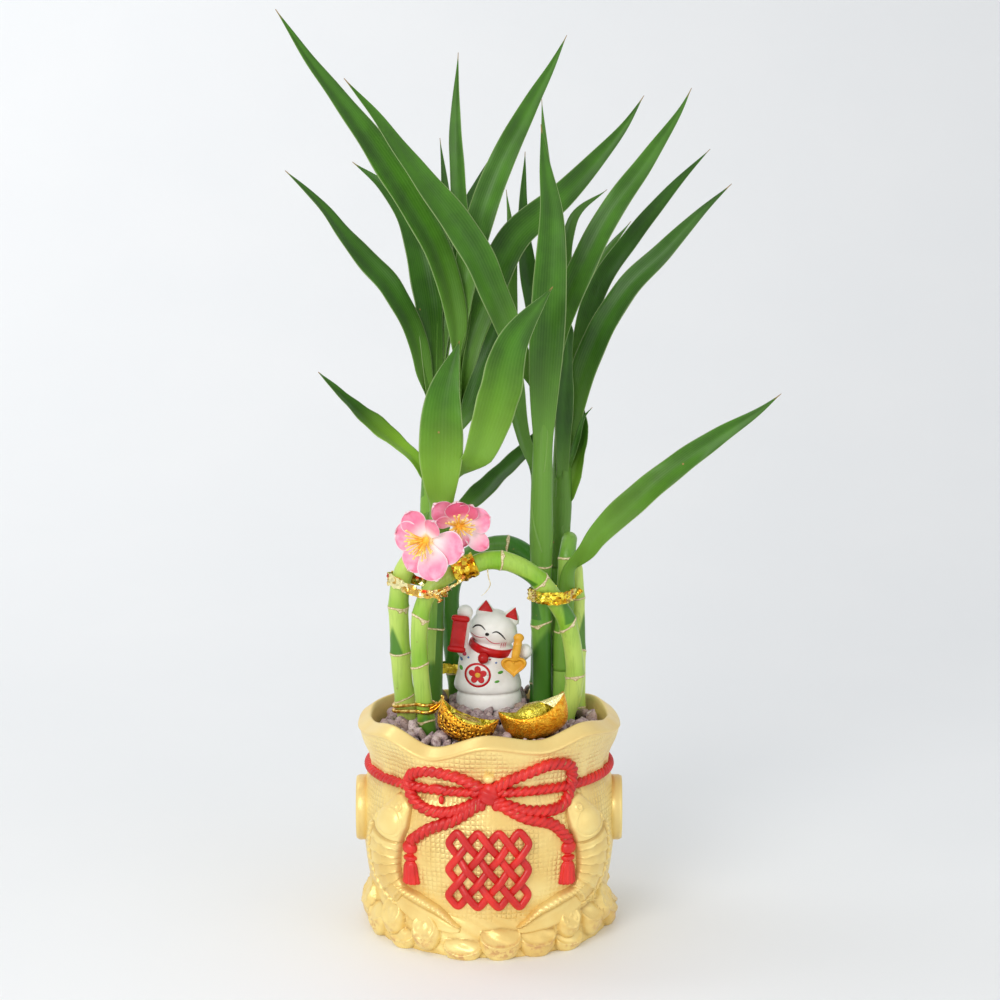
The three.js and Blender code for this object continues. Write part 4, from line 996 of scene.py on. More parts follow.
def bow_and_rope():
    form = Form()
    round_neck = [(d, ROPE_LEVEL + 1.2 * math.cos(math.radians(d))) for d in np.linspace(-181, 181, 60)]
    pot_rope(form, round_neck, 2.3)
    for stops in BOW.values():
        pot_rope(form, stops, 2.75, 0.7)
    for middle in (-36.5, 37):
        tassel(form, middle)
    knot = lambda p: p * (1 + 0.07 * np.sin(8 * p[..., 2:3] + 3 * p[..., 0:1]))
    points, faces = ball((0, 0, 0), (4.6, 4, 5.2), across=48, down=32, shape=knot)
    form.add(points + on_pot(0, 75, 1.2), faces, groove=0.1)
    for degrees in (-3, 3.2):
        points, faces = ball((0, 0, 0), (1.9, 1.8, 2.4), across=20, down=12)
        form.add(points + on_pot(degrees, 70.2, 1.2), faces, groove=0)
    for place, size in (((-24, 76.2), (4.2, 1.5, 2.1)), ((-21.5, 71.6), (1.2, 1.4, 2))):
        points, faces = ball((0, 0, 0), size, (0, 0, place[0]), across=32, down=20)
        form.add(points + on_pot(*place, 1), faces, groove=0.1)
    return form


KNOT = {"middle": 41, "half": 18, "across": 3, "down": 4, "rope": 1.75, "weave": 0.95}


def zigzag(turns):
    return 4 * abs(turns % 1 - 0.5) - 1


def endless_knot():
    """One rope that runs to and fro between the sides of a square field, over and under itself."""
    across, down, half = KNOT["across"], KNOT["down"], KNOT["half"]
    slots = 4 * across * down
    meets = [k for k in range(slots) if k % (slots // (2 * across)) and k % (slots // (2 * down)) != across]
    keys = [(k / slots, 1 if i % 2 else -1) for i, k in enumerate(meets)]
    share = np.linspace(0, 1, 800, endpoint=False)
    rows = [(keys[-1][0] - 1, keys[-1][1])] + keys + [(keys[0][0] + 1, keys[0][1])]
    over = eased(rows, share)
    soften = np.hanning(17) / np.hanning(17).sum()
    wrap = lambda values: np.convolve(np.concatenate([values[-8:], values, values[:8]]), soften, "valid")
    x = wrap(half * zigzag(across * share))
    z = wrap(KNOT["middle"] + half * zigzag(down * share + 0.75))
    degrees = np.degrees(x / pot_radius(z))
    middle = on_pot(degrees, z, 0.9 + KNOT["weave"] * over)
    outward = pot_normal(degrees, z)
    heading = unit(np.roll(middle, -1, 0) - np.roll(middle, 1, 0))
    sideways = unit(np.cross(heading, outward))
    turn = circle(18)
    cosine, sine = np.cos(turn)[None, :, None], np.sin(turn)[None, :, None]
    ring = cosine * outward[:, None, :] * 0.8 + sine * sideways[:, None, :]
    skin = middle[:, None, :] + KNOT["rope"] * ring
    under = np.repeat(np.clip(-over, 0, 1), len(turn)) * 0.3
    return Form().add(skin, ring_faces(len(share), len(turn)), groove=under)


def make_pot(gold, red):
    piece("pot_wall", pot_wall(), [gold], "pot", "pot")
    piece("pot_heap", foot_heap(), [gold], "pot", "pot")
    for side, name in ((-1, "left"), (1, "right")):
        piece(f"pot_carp_{name}", carp(side), [gold], "pot", "pot")
        piece(f"pot_coin_{name}", side_coin(side * 88, 53, 15, 3), [gold], "pot", "pot")
    piece("pot_coin_rear", side_coin(180, 50, 14, 2), [gold], "pot", "pot")
    piece("pot_rope", bow_and_rope(), [red], "red_paint", "pot")
    piece("pot_knot", endless_knot(), [red], "red_paint", "pot")


# Canes and stems

BED_LEVEL = 91.8
BED_SLOPE = 0.04
STALK_FOOT = BED_LEVEL - 34

CANES = {
    "left_outer": dict(
        path=[(-36, 6, STALK_FOOT), (-37.8, 5, 91), (-40.2, 3, 115), (-41.2, 2, 136), (-41.3, 0.5, 150),
              (-39, -1, 163), (-34, -1, 171)],
        radius=4.5, joints=[(0.4, 1.7, 0), (0.585, 0.2, 0.4), (0.777, 0, 1.6)],
        patches=[(0.585, -42, 62, 13)], young=[(0, 0.85), (1, 0.85)]),
    "left_inner": dict(
        path=[(-25, -11, STALK_FOOT), (-27.7, -12, 90), (-31.4, -11, 123), (-31, -11, 144), (-28, -11, 154),
              (-22, -11, 161.5), (-14.6, -11, 165.5)],
        radius=3.8, joints=[(0.34, 0.3, 0.5), (0.563, 1.1, 0.4), (0.757, -1.2, 2.4)],
        patches=[(0, 0, 400, 43)], young=[(0, 0.7), (1, 0.7)]),
    "arch_front": dict(
        path=[(31, 7, STALK_FOOT), (35.2, 6, 93), (38.7, 5, 105), (39.5, 4, 118), (35.6, 1, 140),
              (31, -1, 148.7), (26.8, -3, 155.4), (20, -6, 163), (13, -7.5, 167.6), (6.5, -9, 170),
              (-1.5, -10, 170.2), (-12.6, -11, 166)],
        radius=4.2,
        joints=[(0.23, 0.4, 0.3), (0.385, 0.6, 0.9), (0.553, 2, 0.8), (0.728, 0.4, 1.2), (0.873, 0.2, 0.6)],
        patches=[(0.565, 52, 66, 12), (0.738, -78, 70, 17), (0.15, -40, 300, 12)],
        young=[(0, 0.6), (0.08, 1.05), (0.44, 0.95), (0.56, 0.6), (1, 0.6)]),
    "arch_rear": dict(
        path=[(-14, 43, STALK_FOOT), (-15.1, 42, 97), (-17.8, 41, 123), (-18.5, 40, 148), (-13, 40, 160),
              (-3, 40, 166.5), (4, 40, 168.5), (13, 40, 167), (20, 40.5, 161), (24, 41, 150),
              (24.4, 39.6, 120), (22.6, 39, STALK_FOOT)],
        radius=4.6, joints=[(0.2, 0.4, 0.2), (0.52, 0.2, 0.5), (0.7, 0, 0.4), (0.82, 0, 0.2)], patches=[],
        young=[(0, 0.35), (1, 0.35)]),
    "right_outer": dict(
        path=[(41.5, 19, STALK_FOOT), (41.6, 19.5, 92), (41.8, 22, 110), (41.8, 27, 128), (41.4, 31.5, 146),
              (40.4, 32.5, 162)],
        radius=3.4, joints=[(0.35, 0.5, 0.3), (0.6, 0, 0.5), (0.83, 0.6, 0.3)], patches=[(0.6, 60, 90, 18)],
        young=[(0, 1), (1, 1)]),
}

STEMS = {
    "left_front": dict(
        path=[(-25, 13, STALK_FOOT), (-26, 12, 95), (-25, 10, 140), (-22, 7, 190), (-17, 8, 230),
              (-14, 11, 275)],
        radii=[(0, 4.3), (0.55, 4.1), (0.63, 4.2), (0.8, 3.2), (1, 1.2)],
        joints=[(0.356, -0.6, 0.3), (0.47, 0, 0.3)],
        patches=[(0.05, 95, 86, 900), (0, 0, 900, 62)], young=[(0, 0.8), (1, 0.8)], bare=162),
    "left_rear": dict(
        path=[(-27, 29, STALK_FOOT), (-27.5, 28, 100), (-28, 28, 150), (-27, 28, 200), (-25, 31, 240),
              (-24, 34, 275)],
        radii=[(0, 4.1), (0.55, 4.0), (0.63, 3.9), (0.8, 3), (1, 1.1)],
        joints=[(0.34, 0, 0.2), (0.48, 0, 0.2)],
        patches=[(0, 0, 900, 60)], young=[(0, 0.2), (1, 0.2)], bare=160),
    "right_front": dict(
        path=[(24.6, 26.6, STALK_FOOT), (25.2, 26.6, 95), (24.3, 24, 140), (24.3, 19.5, 190), (25, 18, 235),
              (27, 20, 290)],
        radii=[(0, 4.8), (0.5, 4.7), (0.6, 4.3), (0.8, 3.4), (1, 1.3)],
        joints=[(0.33, 1.2, 0.8), (0.45, 0, 0.2)],
        patches=[(0, 42, 460, 74), (0.34, -60, 60, 20)], young=[(0, 0.35), (1, 0.35)], bare=150),
    "right_rear": dict(
        path=[(31.4, 33, STALK_FOOT), (32, 34, 100), (33, 38, 150), (34, 42, 190), (35, 45, 235),
              (35, 49, 275)],
        radii=[(0, 4), (0.5, 3.9), (0.62, 3.6), (0.8, 3), (1, 1.2)], joints=[(0.25, 0, 0.3), (0.4, 0, 0.3)],
        patches=[(0, 0, 900, 40)], young=[(0, 0.5), (1, 0.5)], bare=148),
    "right_short": dict(
        path=[(33.8, 22, STALK_FOOT), (33.8, 22, 95), (34.2, 23, 115), (34.8, 24, 132), (36, 24, 160),
              (36.8, 26, 169), (37.6, 30, 173), (38, 33.6, 172)],
        radii=[(0, 3.9), (0.8, 4.1), (1, 3.6)], joints=[(0.3, 0.3, 0.3), (0.6, 0.5, 0.6), (0.885, 0.4, 0.9)],
        patches=[(0.6, 30, 80, 22), (0, 0, 900, 24)], young=[(0, 0.7), (1, 0.7)], bare=112),
}


def cane_form(path, radius_at, joints, patches, young):
    """Cane with its joints: a low swelling, a scar with a torn edge, and what is left of the sheaths.

    A joint is its share of the length, how far it rises to the right, and how ragged its paper is.
    A patch is its share of the length, its degrees from the front, its spread in degrees and its height.
    young says how pale the skin is at shares of the length.
    """
    course = Course(path)
    length = course.length

    def off_joint(along, turn, joint):
        at, slope, _ = joint
        return along - at * length - slope * np.sin(turn) - 0.2 * np.sin(3 * turn + 20 * at)

    def radius(share, turn):
        along = share * length
        size = radius_at(share)
        for joint in joints:
            off = off_joint(along, turn, joint)
            size = size + 0.3 * np.exp(-(off / 2.8) ** 2) + 0.24 * np.exp(-(off / 0.5) ** 2)
        return np.minimum(size, rounded(share, size, length * 1.02))

    near = [at + np.linspace(-5, 4, 30) / length for at, _, _ in joints]
    shares = np.unique(np.clip(np.concatenate([np.linspace(0, 1, int(length / 1.7)), *near]), 0, 1).round(5))
    points, faces, share, turn = tube(course, len(shares), 40, radius, shares=shares)
    along = share * length
    scar = np.zeros_like(share)
    pale = eased(young, share)
    age = pale
    for joint in joints:
        off = off_joint(along, turn, joint)
        spike = np.clip(np.cos(turn - 0.5 + 1.4 * math.sin(40 * joint[0])), 0, 1) ** 22
        other = np.clip(np.cos(turn + 0.6 + math.sin(23 * joint[0])), 0, 1) ** 40
        below = 0.3 + joint[2] * (1.5 * spike + 0.9 * other + 0.16 * abs(np.sin(turn * 5 + 4)))
        band = np.minimum((0.55 - off) / 0.35, (off + below + 0.3) / 0.45)
        scar = np.maximum(scar, np.clip(band, 0, 1))
        age = np.minimum(age, pale - 0.6 * np.exp(-np.maximum(off, 0) / 16) * (off > -0.4))
    sheath = np.full_like(share, -1.0)
    for at, degrees, spread, height in patches:
        off = along - at * length
        away = abs((np.degrees(turn) - degrees + 180) % 360 - 180)
        left = (1 - off / height - (away / spread) ** 1.3) * height / 20
        sheath = np.maximum(sheath, np.minimum(off / 2, left))
    return Form().add(points, faces, scar=scar, young=age, sheath=np.clip(sheath, -1, 1))


def make_canes():
    pale, green, dark = paint("c9e070"), paint("80b22a"), paint("3a761a")
    light_skin = cane_skin("light_cane", pale, green, dark)
    # The rear arch takes a darker copy of the cane skin: painted shade.
    shaded_skin = cane_skin("shaded_cane", paint("7fae45"), paint("3f7d25"), paint("275a18"))
    for name, cane in CANES.items():
        radius_at = lambda share, radius=cane["radius"]: radius + 0 * share
        form = cane_form(cane["path"], radius_at, cane["joints"], cane["patches"], cane["young"])
        skin = shaded_skin if name == "arch_rear" else light_skin
        piece(f"bamboo_{name}", form, [skin], "cane", f"cane_{name}")
    root = Course([(-0.6, -13.5, 167), (-0.2, -14.4, 163.5), (0.6, -14.6, 160), (-1.6, -14.8, 156.5),
                   (-3.4, -15, 155)])
    points, faces, _, _ = tube(root, 40, 8, lambda share, turn: 0.32 - 0.22 * share)
    form = Form().add(points, faces, scar=1, young=0, sheath=-1)
    piece("aerial_root", form, [light_skin], "cane", "cane_arch_front")


# Leaves

BLADE_THICKNESS = 0.7
BLADE_EDGE = 0.22

LEAVES = {
    "left_front": [
        dict(path=[(-15, 9, 240), (-15, 9, 277), (-23, 6, 307), (-37, 2, 333), (-57, -4, 363),
                   (-77, -12, 390), (-91, -22, 412)],
             width=15, facing=20, twist=10),
        dict(path=[(-13, 11, 245), (-11, 18, 286), (-13, 24, 328), (-15, 28, 364), (-14, 34, 397)],
             width=9, facing=-25),
        dict(path=[(-14, 11, 250), (-12, 13, 286), (-5, 14, 318), (5, 16, 346), (19, 20, 374), (28, 22, 390),
                   (35, 22, 404)],
             width=13, facing=-20, twist=30),
        dict(path=[(-16, 9, 225), (-9, 16, 265), (0, 22, 290), (12, 30, 314), (33, 36, 332), (51, 38, 351),
                   (62, 38, 364), (71, 38, 378)],
             width=15, facing=-10, twist=25),
        dict(path=[(-22, 3, 186), (-21.5, -3, 219), (-20, -6, 245), (-13, -6, 269)],
             width=20, fold=0.5, young=0.8),
        dict(path=[(-14, 3, 200), (-4, -5, 220), (4, -10, 245), (10, -16, 268), (28, -24, 294)],
             width=19, facing=25, twist=-20, wave=1, young=0.6),
    ],
    "left_rear": [
        dict(path=[(-28, 29, 225), (-33, 30, 264), (-45, 31, 289), (-62, 36, 308), (-79, 42, 329),
                   (-95, 48, 344)],
             width=12, facing=20, twist=20),
        dict(path=[(-26, 29, 220), (-27, 34, 257), (-30, 40, 289), (-38, 46, 320), (-50, 50, 337),
                   (-64, 52, 348)],
             width=14, facing=40, twist=-30),
        dict(path=[(-25, 34, 235), (-20, 42, 284), (-20, 48, 330), (-23, 52, 359)], width=7, facing=-20),
        dict(path=[(-24, 34, 234), (-18, 48, 289), (-9, 58, 328), (2, 66, 353)], width=12, facing=-40),
        dict(path=[(-28, 27, 190), (-33, 25, 209), (-45, 28, 220), (-62, 33, 234), (-80, 38, 251)],
             width=11, facing=60, twist=-20, young=1.6),
        dict(path=[(-25, 29, 176), (-9, 44, 188), (5, 55, 200), (18, 62, 212), (30, 66, 227)],
             width=11, facing=-30),
        dict(path=[(-25, 31, 215), (-12, 42, 230), (-5, 48, 247), (1, 52, 265), (7, 55, 284)],
             width=12, facing=-20),
    ],
    "right_front": [
        dict(path=[(24.5, 18, 203), (25, 12, 245), (27, 7, 286), (28, 3, 324), (25, 0, 346), (23, -3, 364)],
             width=16, facing=8, twist=-15),
        dict(path=[(23, 19, 230), (16, 13, 252), (9, 5, 272), (2, 0, 289), (-7, -6, 309), (-20, -11, 328),
                   (-36, -16, 349), (-48, -19, 366), (-62, -22, 383)],
             width=15.5, facing=15, twist=15),
        dict(path=[(26, 19, 226), (32, 24, 272), (42, 25, 298), (55, 26, 324), (71, 28, 347), (87, 30, 371),
                   (92, 30, 381)],
             width=13, facing=-25, twist=20),
        dict(path=[(23, 21, 195), (13, 44, 232), (9, 60, 275), (10, 70, 312), (8, 78, 335)],
             width=10, facing=160),
    ],
    "right_rear": [
        dict(path=[(34, 48, 215), (23, 58, 268), (16, 68, 316), (17, 78, 353)], width=9, facing=20),
        dict(path=[(34, 48, 227), (31, 60, 283), (27, 72, 340), (25, 84, 378)], width=8, facing=170),
        dict(path=[(36, 46, 218), (42, 47, 256), (51, 49, 289), (68, 53, 314), (89, 57, 339), (104, 62, 354)],
             width=10, facing=-20, twist=15),
        dict(path=[(35.5, 44, 195), (40, 39, 231), (47, 35, 259), (63, 31, 289), (81, 30, 308), (97, 30, 325),
                   (111, 30, 338)],
             width=13, facing=-30, twist=20),
        dict(path=[(35, 50, 237), (35, 66, 283), (40, 78, 321), (57, 90, 335)], width=8, facing=150),
        dict(path=[(36, 48, 227), (44, 62, 269), (53, 70, 301), (68, 78, 320)], width=9, facing=130),
        dict(path=[(34, 42, 190), (34.5, 34, 229), (36, 31.5, 257), (36.5, 33, 276)],
             width=8.5, facing=20, blunt=0.6),
        dict(path=[(36, 43, 181), (41, 42, 204), (44.5, 42, 223), (43.5, 44, 238)],
             width=7.5, facing=-30, young=0.6),
        dict(path=[(36, 43, 200), (41, 37, 219), (44, 34, 230), (48, 32, 235)], width=3),
    ],
    "right_short": [
        dict(path=[(34.4, 21, 150), (36.8, 18.6, 157), (43, 13, 166.3), (50, 8, 178.4), (67.7, 2, 196.9),
                   (86.1, -3, 213.2), (102.6, -8, 226.1), (120.8, -10.5, 238.3), (130, -12, 246)],
             width=12.5, facing=-15, twist=10, wave=1.3, young=0.3),
    ],
}


def blade_width(share):
    """Width of a blade along its length, as a share of the widest: narrow foot, long belly, drawn-out tip."""
    foot = 0.5 + 0.5 * smooth(0, 0.42, share)
    tip = np.where(share < 0.45, 1, np.clip(1 - (np.maximum(share - 0.45, 0) / 0.55) ** 2, 0, 1) ** 1.15)
    return foot * tip


SHEATH_LENGTH = 60
SHEATH_MERGE = 0.2


def blade_rows(course, share, q, width, facing, twist, wave, fold, lift, blunt, phase):
    """Surface of a blade at each share of its length, with its side, normal and half width there."""
    along = course.heading(share[:, 0])
    angle = math.radians(facing)
    look = np.array([math.sin(angle), -math.cos(angle), lift])
    normal = unit(look - along * (along @ look)[:, None])
    sweep = np.radians(twist) * share
    normal = normal * np.cos(sweep) + np.cross(along, normal) * np.sin(sweep)
    side = unit(np.cross(along, normal))
    broad = np.maximum(blade_width(share), blunt * (1 - smooth(0.93, 1, share) * 0.6))
    half = np.maximum(width / 2 * broad, 0.12)
    ripple = wave * np.sin(share * 14) * smooth(0.15, 0.4, share) * half * 2 / width
    frill = 0.3 * wave * np.sin(share * 41 + phase) * smooth(0.2, 0.5, share) * abs(q) ** 3
    crown = fold * half * (np.sqrt(q * q + 0.03) - 0.17)
    height = crown - 0.1 * half * q ** 4 + q * ripple + frill * half / 4
    middle = course.at(share[:, 0])[:, None, :]
    surface = middle + side[:, None, :] * (half * q)[..., None] + normal[:, None, :] * height[..., None]
    return surface, side, normal, half


def sheath_rows(stem, z, q, around, spread, rank, sign, floor):
    """Rows of a leaf's foot, wrapped round the stem at each height; outer sheaths lie over inner ones."""
    course, radius_at = stem
    heights = course.points[:, 2]
    place = np.interp(z, heights, course.run / course.length)
    reach = (radius_at(place) + 0.06 + (0.28 + 0.14 * rank) * smooth(0, 18, z - floor))[:, None]
    turn = around + sign * np.radians(spread) * q
    outward = np.stack([np.cos(turn), np.sin(turn), np.zeros_like(turn)], -1)
    level = course.at(place)[:, None, :] * np.array([1, 1, 0]) + np.array([0, 0, 1]) * z[:, None, None]
    return level + outward * reach[..., None], outward


def leaf(form, index, rank, stem, floor, path, width, facing=0, twist=0, wave=0.8, fold=0.42, lift=0.35,
         blunt=0, young=0):
    """One leaf, from its sheath round the stem to its tip; floor is the height where the sheath starts."""
    course = Course(path)
    columns = 17
    q = np.linspace(-1, 1, columns)[None, :]
    share = np.linspace(0, 1, int(course.length / 2.5))[:, None]
    shape = (width, facing, twist, wave, fold, lift, blunt, 2.3 * index)
    surface, side, normal, half = blade_rows(course, share, q, *shape)
    lifted = normal[:, None, :] + 0 * surface
    foot = 1 - smooth(0, 0.45, share)
    middle = course.at(0.35)
    axis = stem[0].at(np.interp(path[0][2], stem[0].points[:, 2], stem[0].run / stem[0].length))
    around = math.atan2(middle[1] - axis[1], middle[0] - axis[0])
    tangent = np.array([-math.sin(around), math.cos(around), 0])
    outward = np.array([math.cos(around), math.sin(around), 0])
    bend = int(np.searchsorted(share[:, 0], SHEATH_MERGE))
    sign = 1 if tangent @ side[bend] + outward @ normal[bend] >= 0 else -1
    if floor is not None:
        merge = smooth(0, SHEATH_MERGE, share)[..., None]
        wrapped, out = sheath_rows(stem, course.at(share[:, 0])[:, 2], q, around, 95, rank, sign, floor)
        surface = wrapped * (1 - merge) + surface * merge
        lifted = unit(sign * out * (1 - merge) + lifted * merge)
        z = np.linspace(floor, path[0][2], 24)[:-1]
        opening = 178 - 83 * smooth(0, 1, (z - floor) / (path[0][2] - floor))[:, None]
        low, out = sheath_rows(stem, z, q, around, opening, rank, sign, floor)
        surface = np.concatenate([low, surface])
        lifted = np.concatenate([sign * out, lifted])
        foot = np.concatenate([1 + 0 * z[:, None], foot])
        share = np.concatenate([0 * z[:, None], share])
        half = np.concatenate([4 + 0 * z[:, None], half])
    rows = len(share)
    midrib = (BLADE_THICKNESS - BLADE_EDGE) * np.exp(-(q * half / 1.6) ** 2)
    thick = (BLADE_EDGE + midrib * (1 - smooth(0.7, 1, share)) * (1 - foot)) / 2
    points, faces = slab(surface + lifted * thick[..., None], surface - lifted * thick[..., None])
    both = lambda values: np.tile(np.broadcast_to(values, (rows, columns)).ravel(), 2)
    upper, lower = both(foot * (sign > 0)) * 0.5, both(1 - foot * 0.6)
    under = np.concatenate([upper[:rows * columns], lower[:rows * columns]])
    form.add(points, faces, along=both(share), across=both(q), under=under, tint=(index * 0.37) % 1,
             foot=both(foot), young=both(young * (1 - smooth(0.1, 0.75, share))))


def stem_leaves(stem, leaves, lowest):
    """All leaves of a stalk; each sheath starts below the next leaf's foot, but over the bare cane."""
    form = Form()
    order = sorted(range(len(leaves)), key=lambda i: -leaves[i]["path"][0][2])
    for rank, index in enumerate(order):
        start = leaves[index]["path"][0][2]
        below = leaves[order[rank + 1]]["path"][0][2] if rank + 1 < len(order) else start
        floor = max(min(start - SHEATH_LENGTH, below - 30), lowest + 3 * rank)
        is_sheathed = leaves[index]["width"] > 6
        leaf(form, index, rank, stem, floor if is_sheathed else None, **leaves[index])
    return form


def make_leaves():
    skins = {
        "front": leaf_skin("leaf_green", paint("285206"), paint("437c10"), paint("5b8a30")),
        # The rear stalks' leaves take a darker copy of the leaf skin: painted shade.
        "rear": leaf_skin("leaf_deep", paint("214a06"), paint("376b10"), paint("4f7c2a")),
    }
    stem_skin = cane_skin("stem_skin", paint("a3c65a"), paint("5f972f"), paint("356c1c"))
    for name, stem in STEMS.items():
        radius_at = lambda share, radii=stem["radii"]: eased(radii, share)
        course = Course(stem["path"])
        last = max(blade["path"][0][2] for blade in LEAVES[name])
        end = np.interp(last, course.points[:, 2], course.run / course.length) if name != "right_short" else 2
        shoot = lambda share, end=end: radius_at(share) * (1 - 0.95 * smooth(end - 0.05, end + 0.02, share))
        form = cane_form(stem["path"], shoot, stem["joints"], stem["patches"], stem["young"])
        piece(f"stem_{name}", form, [stem_skin], "leaf", f"stalk_{name}")
        leaves = stem_leaves((course, radius_at), LEAVES[name], stem["bare"])
        skin = skins["rear" if "rear" in name else "front"]
        piece(f"leaves_{name}", leaves, [skin], "leaf", f"stalk_{name}")


# Gravel

def bed_height(y):
    return BED_LEVEL + BED_SLOPE * y


def stone(random, size):
    """Broken stone: a ball cut by random planes, its edges a little worn."""
    ball_points, faces = ICO
    planes = unit(random.normal(size=(9, 3)))
    reach = random.uniform(0.58, 0.95, 9)
    facing = ball_points @ planes.T
    cut = np.minimum(np.where(facing > 0.05, reach / np.maximum(facing, 0.05), 9), 1.15)
    radius = -np.log(np.exp(-34 * cut).sum(1)) / 34 + 0.16
    broad = 0.03 * np.sin(ball_points @ (random.normal(size=3) * 6))
    fine = 0.04 * np.sin(ball_points @ (random.normal(size=3) * 12))
    rough = 1 + broad + fine
    stretch = np.array([1.2, random.uniform(0.62, 1), random.uniform(0.5, 0.8)])
    points = ball_points * (radius * rough)[:, None] * size / 2 * stretch
    return turned(points, random.uniform(0, 360, 3)), faces


def ico_ball(level):
    kit = bmesh.new()
    bmesh.ops.create_icosphere(kit, subdivisions=level, radius=1)
    points = np.array([v.co[:] for v in kit.verts])
    faces = [[v.index for v in face.verts] for face in kit.faces]
    kit.free()
    return unit(points), faces


ICO = ico_ball(3)


def stalk_spots():
    """Where the stalks pass through the bed: x, y and the room that each takes."""
    spots = []
    for group in (CANES, STEMS):
        for stalk in group.values():
            course = Course(stalk["path"])
            near = course.points[abs(course.points[:, 2] - BED_LEVEL - 2) < 6]
            width = stalk.get("radius", 4.4)
            spots += [(x, y, width) for x, y, _ in near[::4]]
    return np.array(spots)


def gravel():
    random = np.random.default_rng(SEED)
    form = Form()
    sides, reach = 96, CAVITY_RADIUS - 0.4
    turn = circle(sides)
    rings = [np.stack([r * np.cos(turn), r * np.sin(turn), drop + bed_height(r * np.sin(turn))], -1)
             for r, drop in ((0.5, -1), (20, -1), (38, -1.2), (reach, -1.6), (reach, -12), (0.5, -12))]
    form.add(*closed_skin(np.array(rings)), finish=1, tint=0)
    spots = stalk_spots()
    figures = [(-0.2, 27, 13.2, 10.2), (-8.5, -31, 10.5, 5.6), (19.5, -26, 12.5, 6.4)]
    kept = []
    for _ in range(9000):
        if len(kept) >= 215:
            break
        size = random.uniform(4, 8.6)
        radius = (CAVITY_RADIUS - 0.35 * size) * math.sqrt(random.uniform())
        angle = random.uniform(0, 2 * math.pi)
        x, y = radius * math.cos(angle), radius * math.sin(angle)
        if (np.hypot(spots[:, 0] - x, spots[:, 1] - y) < spots[:, 2] + size * 0.42).any():
            continue
        rim = size * 0.3
        if any(((x - a) / (w + rim)) ** 2 + ((y - b) / (d + rim)) ** 2 < 1 for a, b, w, d in figures):
            continue
        if any(math.hypot(x - a, y - b) < (size + s) * 0.36 for a, b, s in kept):
            continue
        kept.append((x, y, size))
    for x, y, size in kept:
        points, faces = stone(random, size)
        z = bed_height(y) + random.uniform(-0.2, 2.2) + 1.2 * smooth(20, 46, y)
        points = points + np.array([x, y, z])
        out = np.hypot(points[:, 0], points[:, 1])
        points[:, :2] *= np.minimum(1, (reach + 1.2) / out)[:, None]
        form.add(points, faces, tint=random.uniform())
    return form


# Ties

def band_route(round_spots, gap, steps=140):
    """Closed loop round the canes whose middles and radii are given, seen from above."""
    turns = circle(steps)
    out = np.stack([np.cos(turns), np.sin(turns), 0 * turns], -1)
    spots = np.array(round_spots, float)
    reach = out[:, :2] @ spots[:, :2].T + spots[:, 3]
    best = reach.argmax(1)
    route = spots[best, :3] + out * (spots[best, 3] + gap)[:, None]
    filled = []
    for a, b in zip(route, np.roll(route, -1, 0)):
        count = max(1, int(np.linalg.norm(b - a) / 0.5))
        filled += [a + (b - a) * k / count for k in range(count)]
    return np.array(filled)


def foil_band(form, round_spots, height, gap=0.6, seed=0, red=0.0, waist=0.0, middle=0.0):
    """Strip of foil drawn tight round the canes, crumpled into flat facets, narrower where it is gathered."""
    random = np.random.default_rng(seed)
    route = band_route(round_spots, gap)[::4]
    count, columns = len(route), 5
    across = np.linspace(-1, 1, columns)
    heading = unit(np.roll(route, -1, 0) - np.roll(route, 1, 0))
    outward = unit(np.cross(heading, [0, 0, 1.0]))
    run = np.arange(count)[:, None]
    fold = 0.32 * np.sin(across * 3.2 + run * 1.7 + random.uniform(0, 6))
    pleat = fold + 0.26 * random.normal(size=(count, columns))
    narrow = 1 - waist * np.exp(-((route[:, :1] - middle) / 8) ** 2)
    up = height / 2 * narrow * (across + 0.1 * random.normal(size=(count, columns)))
    slide = random.uniform(-0.3, 0.3, (count, columns))
    surface = route[:, None, :] + outward[:, None, :] * (pleat + 0.45)[..., None]
    surface = surface + heading[:, None, :] * slide[..., None]
    surface = surface + np.array([0, 0, 1.0]) * up[..., None]
    skin = 0.13 * outward[:, None, :]
    shell = np.concatenate([surface + skin, (surface - skin)[:, ::-1]], 1)
    spot = red * (np.sin(run * 0.42 + seed) > 0.9) * (across > 0.1)
    red = np.concatenate([spot, spot[:, ::-1]], 1).ravel().astype(float)
    form.add(shell, ring_faces(*shell.shape[:2]), red=red)


def wire(form, path, radius):
    course = Course(path)
    rubbed = lambda share, turn: radius * (0.85 + 0.2 * abs(np.cos(turn + share * course.length * 1.6)))
    shape = lambda share, turn: np.minimum(rounded(share, radius, course.length), rubbed(share, turn))
    points, faces, _, _ = tube(course, max(int(course.length / 0.4), 12), 12, shape)
    form.add(points, faces, red=0)


def twist_end(form, path, radius, seed):
    """Two ends of foil twisted together: a ragged screw that opens into a frayed tip."""
    random = np.random.default_rng(seed)
    course = Course(path)
    phase = random.uniform(0, 6)
    shape = lambda share, turn: radius * (0.5 + 0.5 * abs(np.cos(turn + share * 7 + phase))) * (
        0.6 + 0.5 * smooth(0.55, 1, share) + 0.14 * np.sin(share * 40 + turn * 3))
    points, faces, share, _ = tube(course, 48, 18, shape)
    form.add(points, faces, red=(share > 0.8) * 0.4)


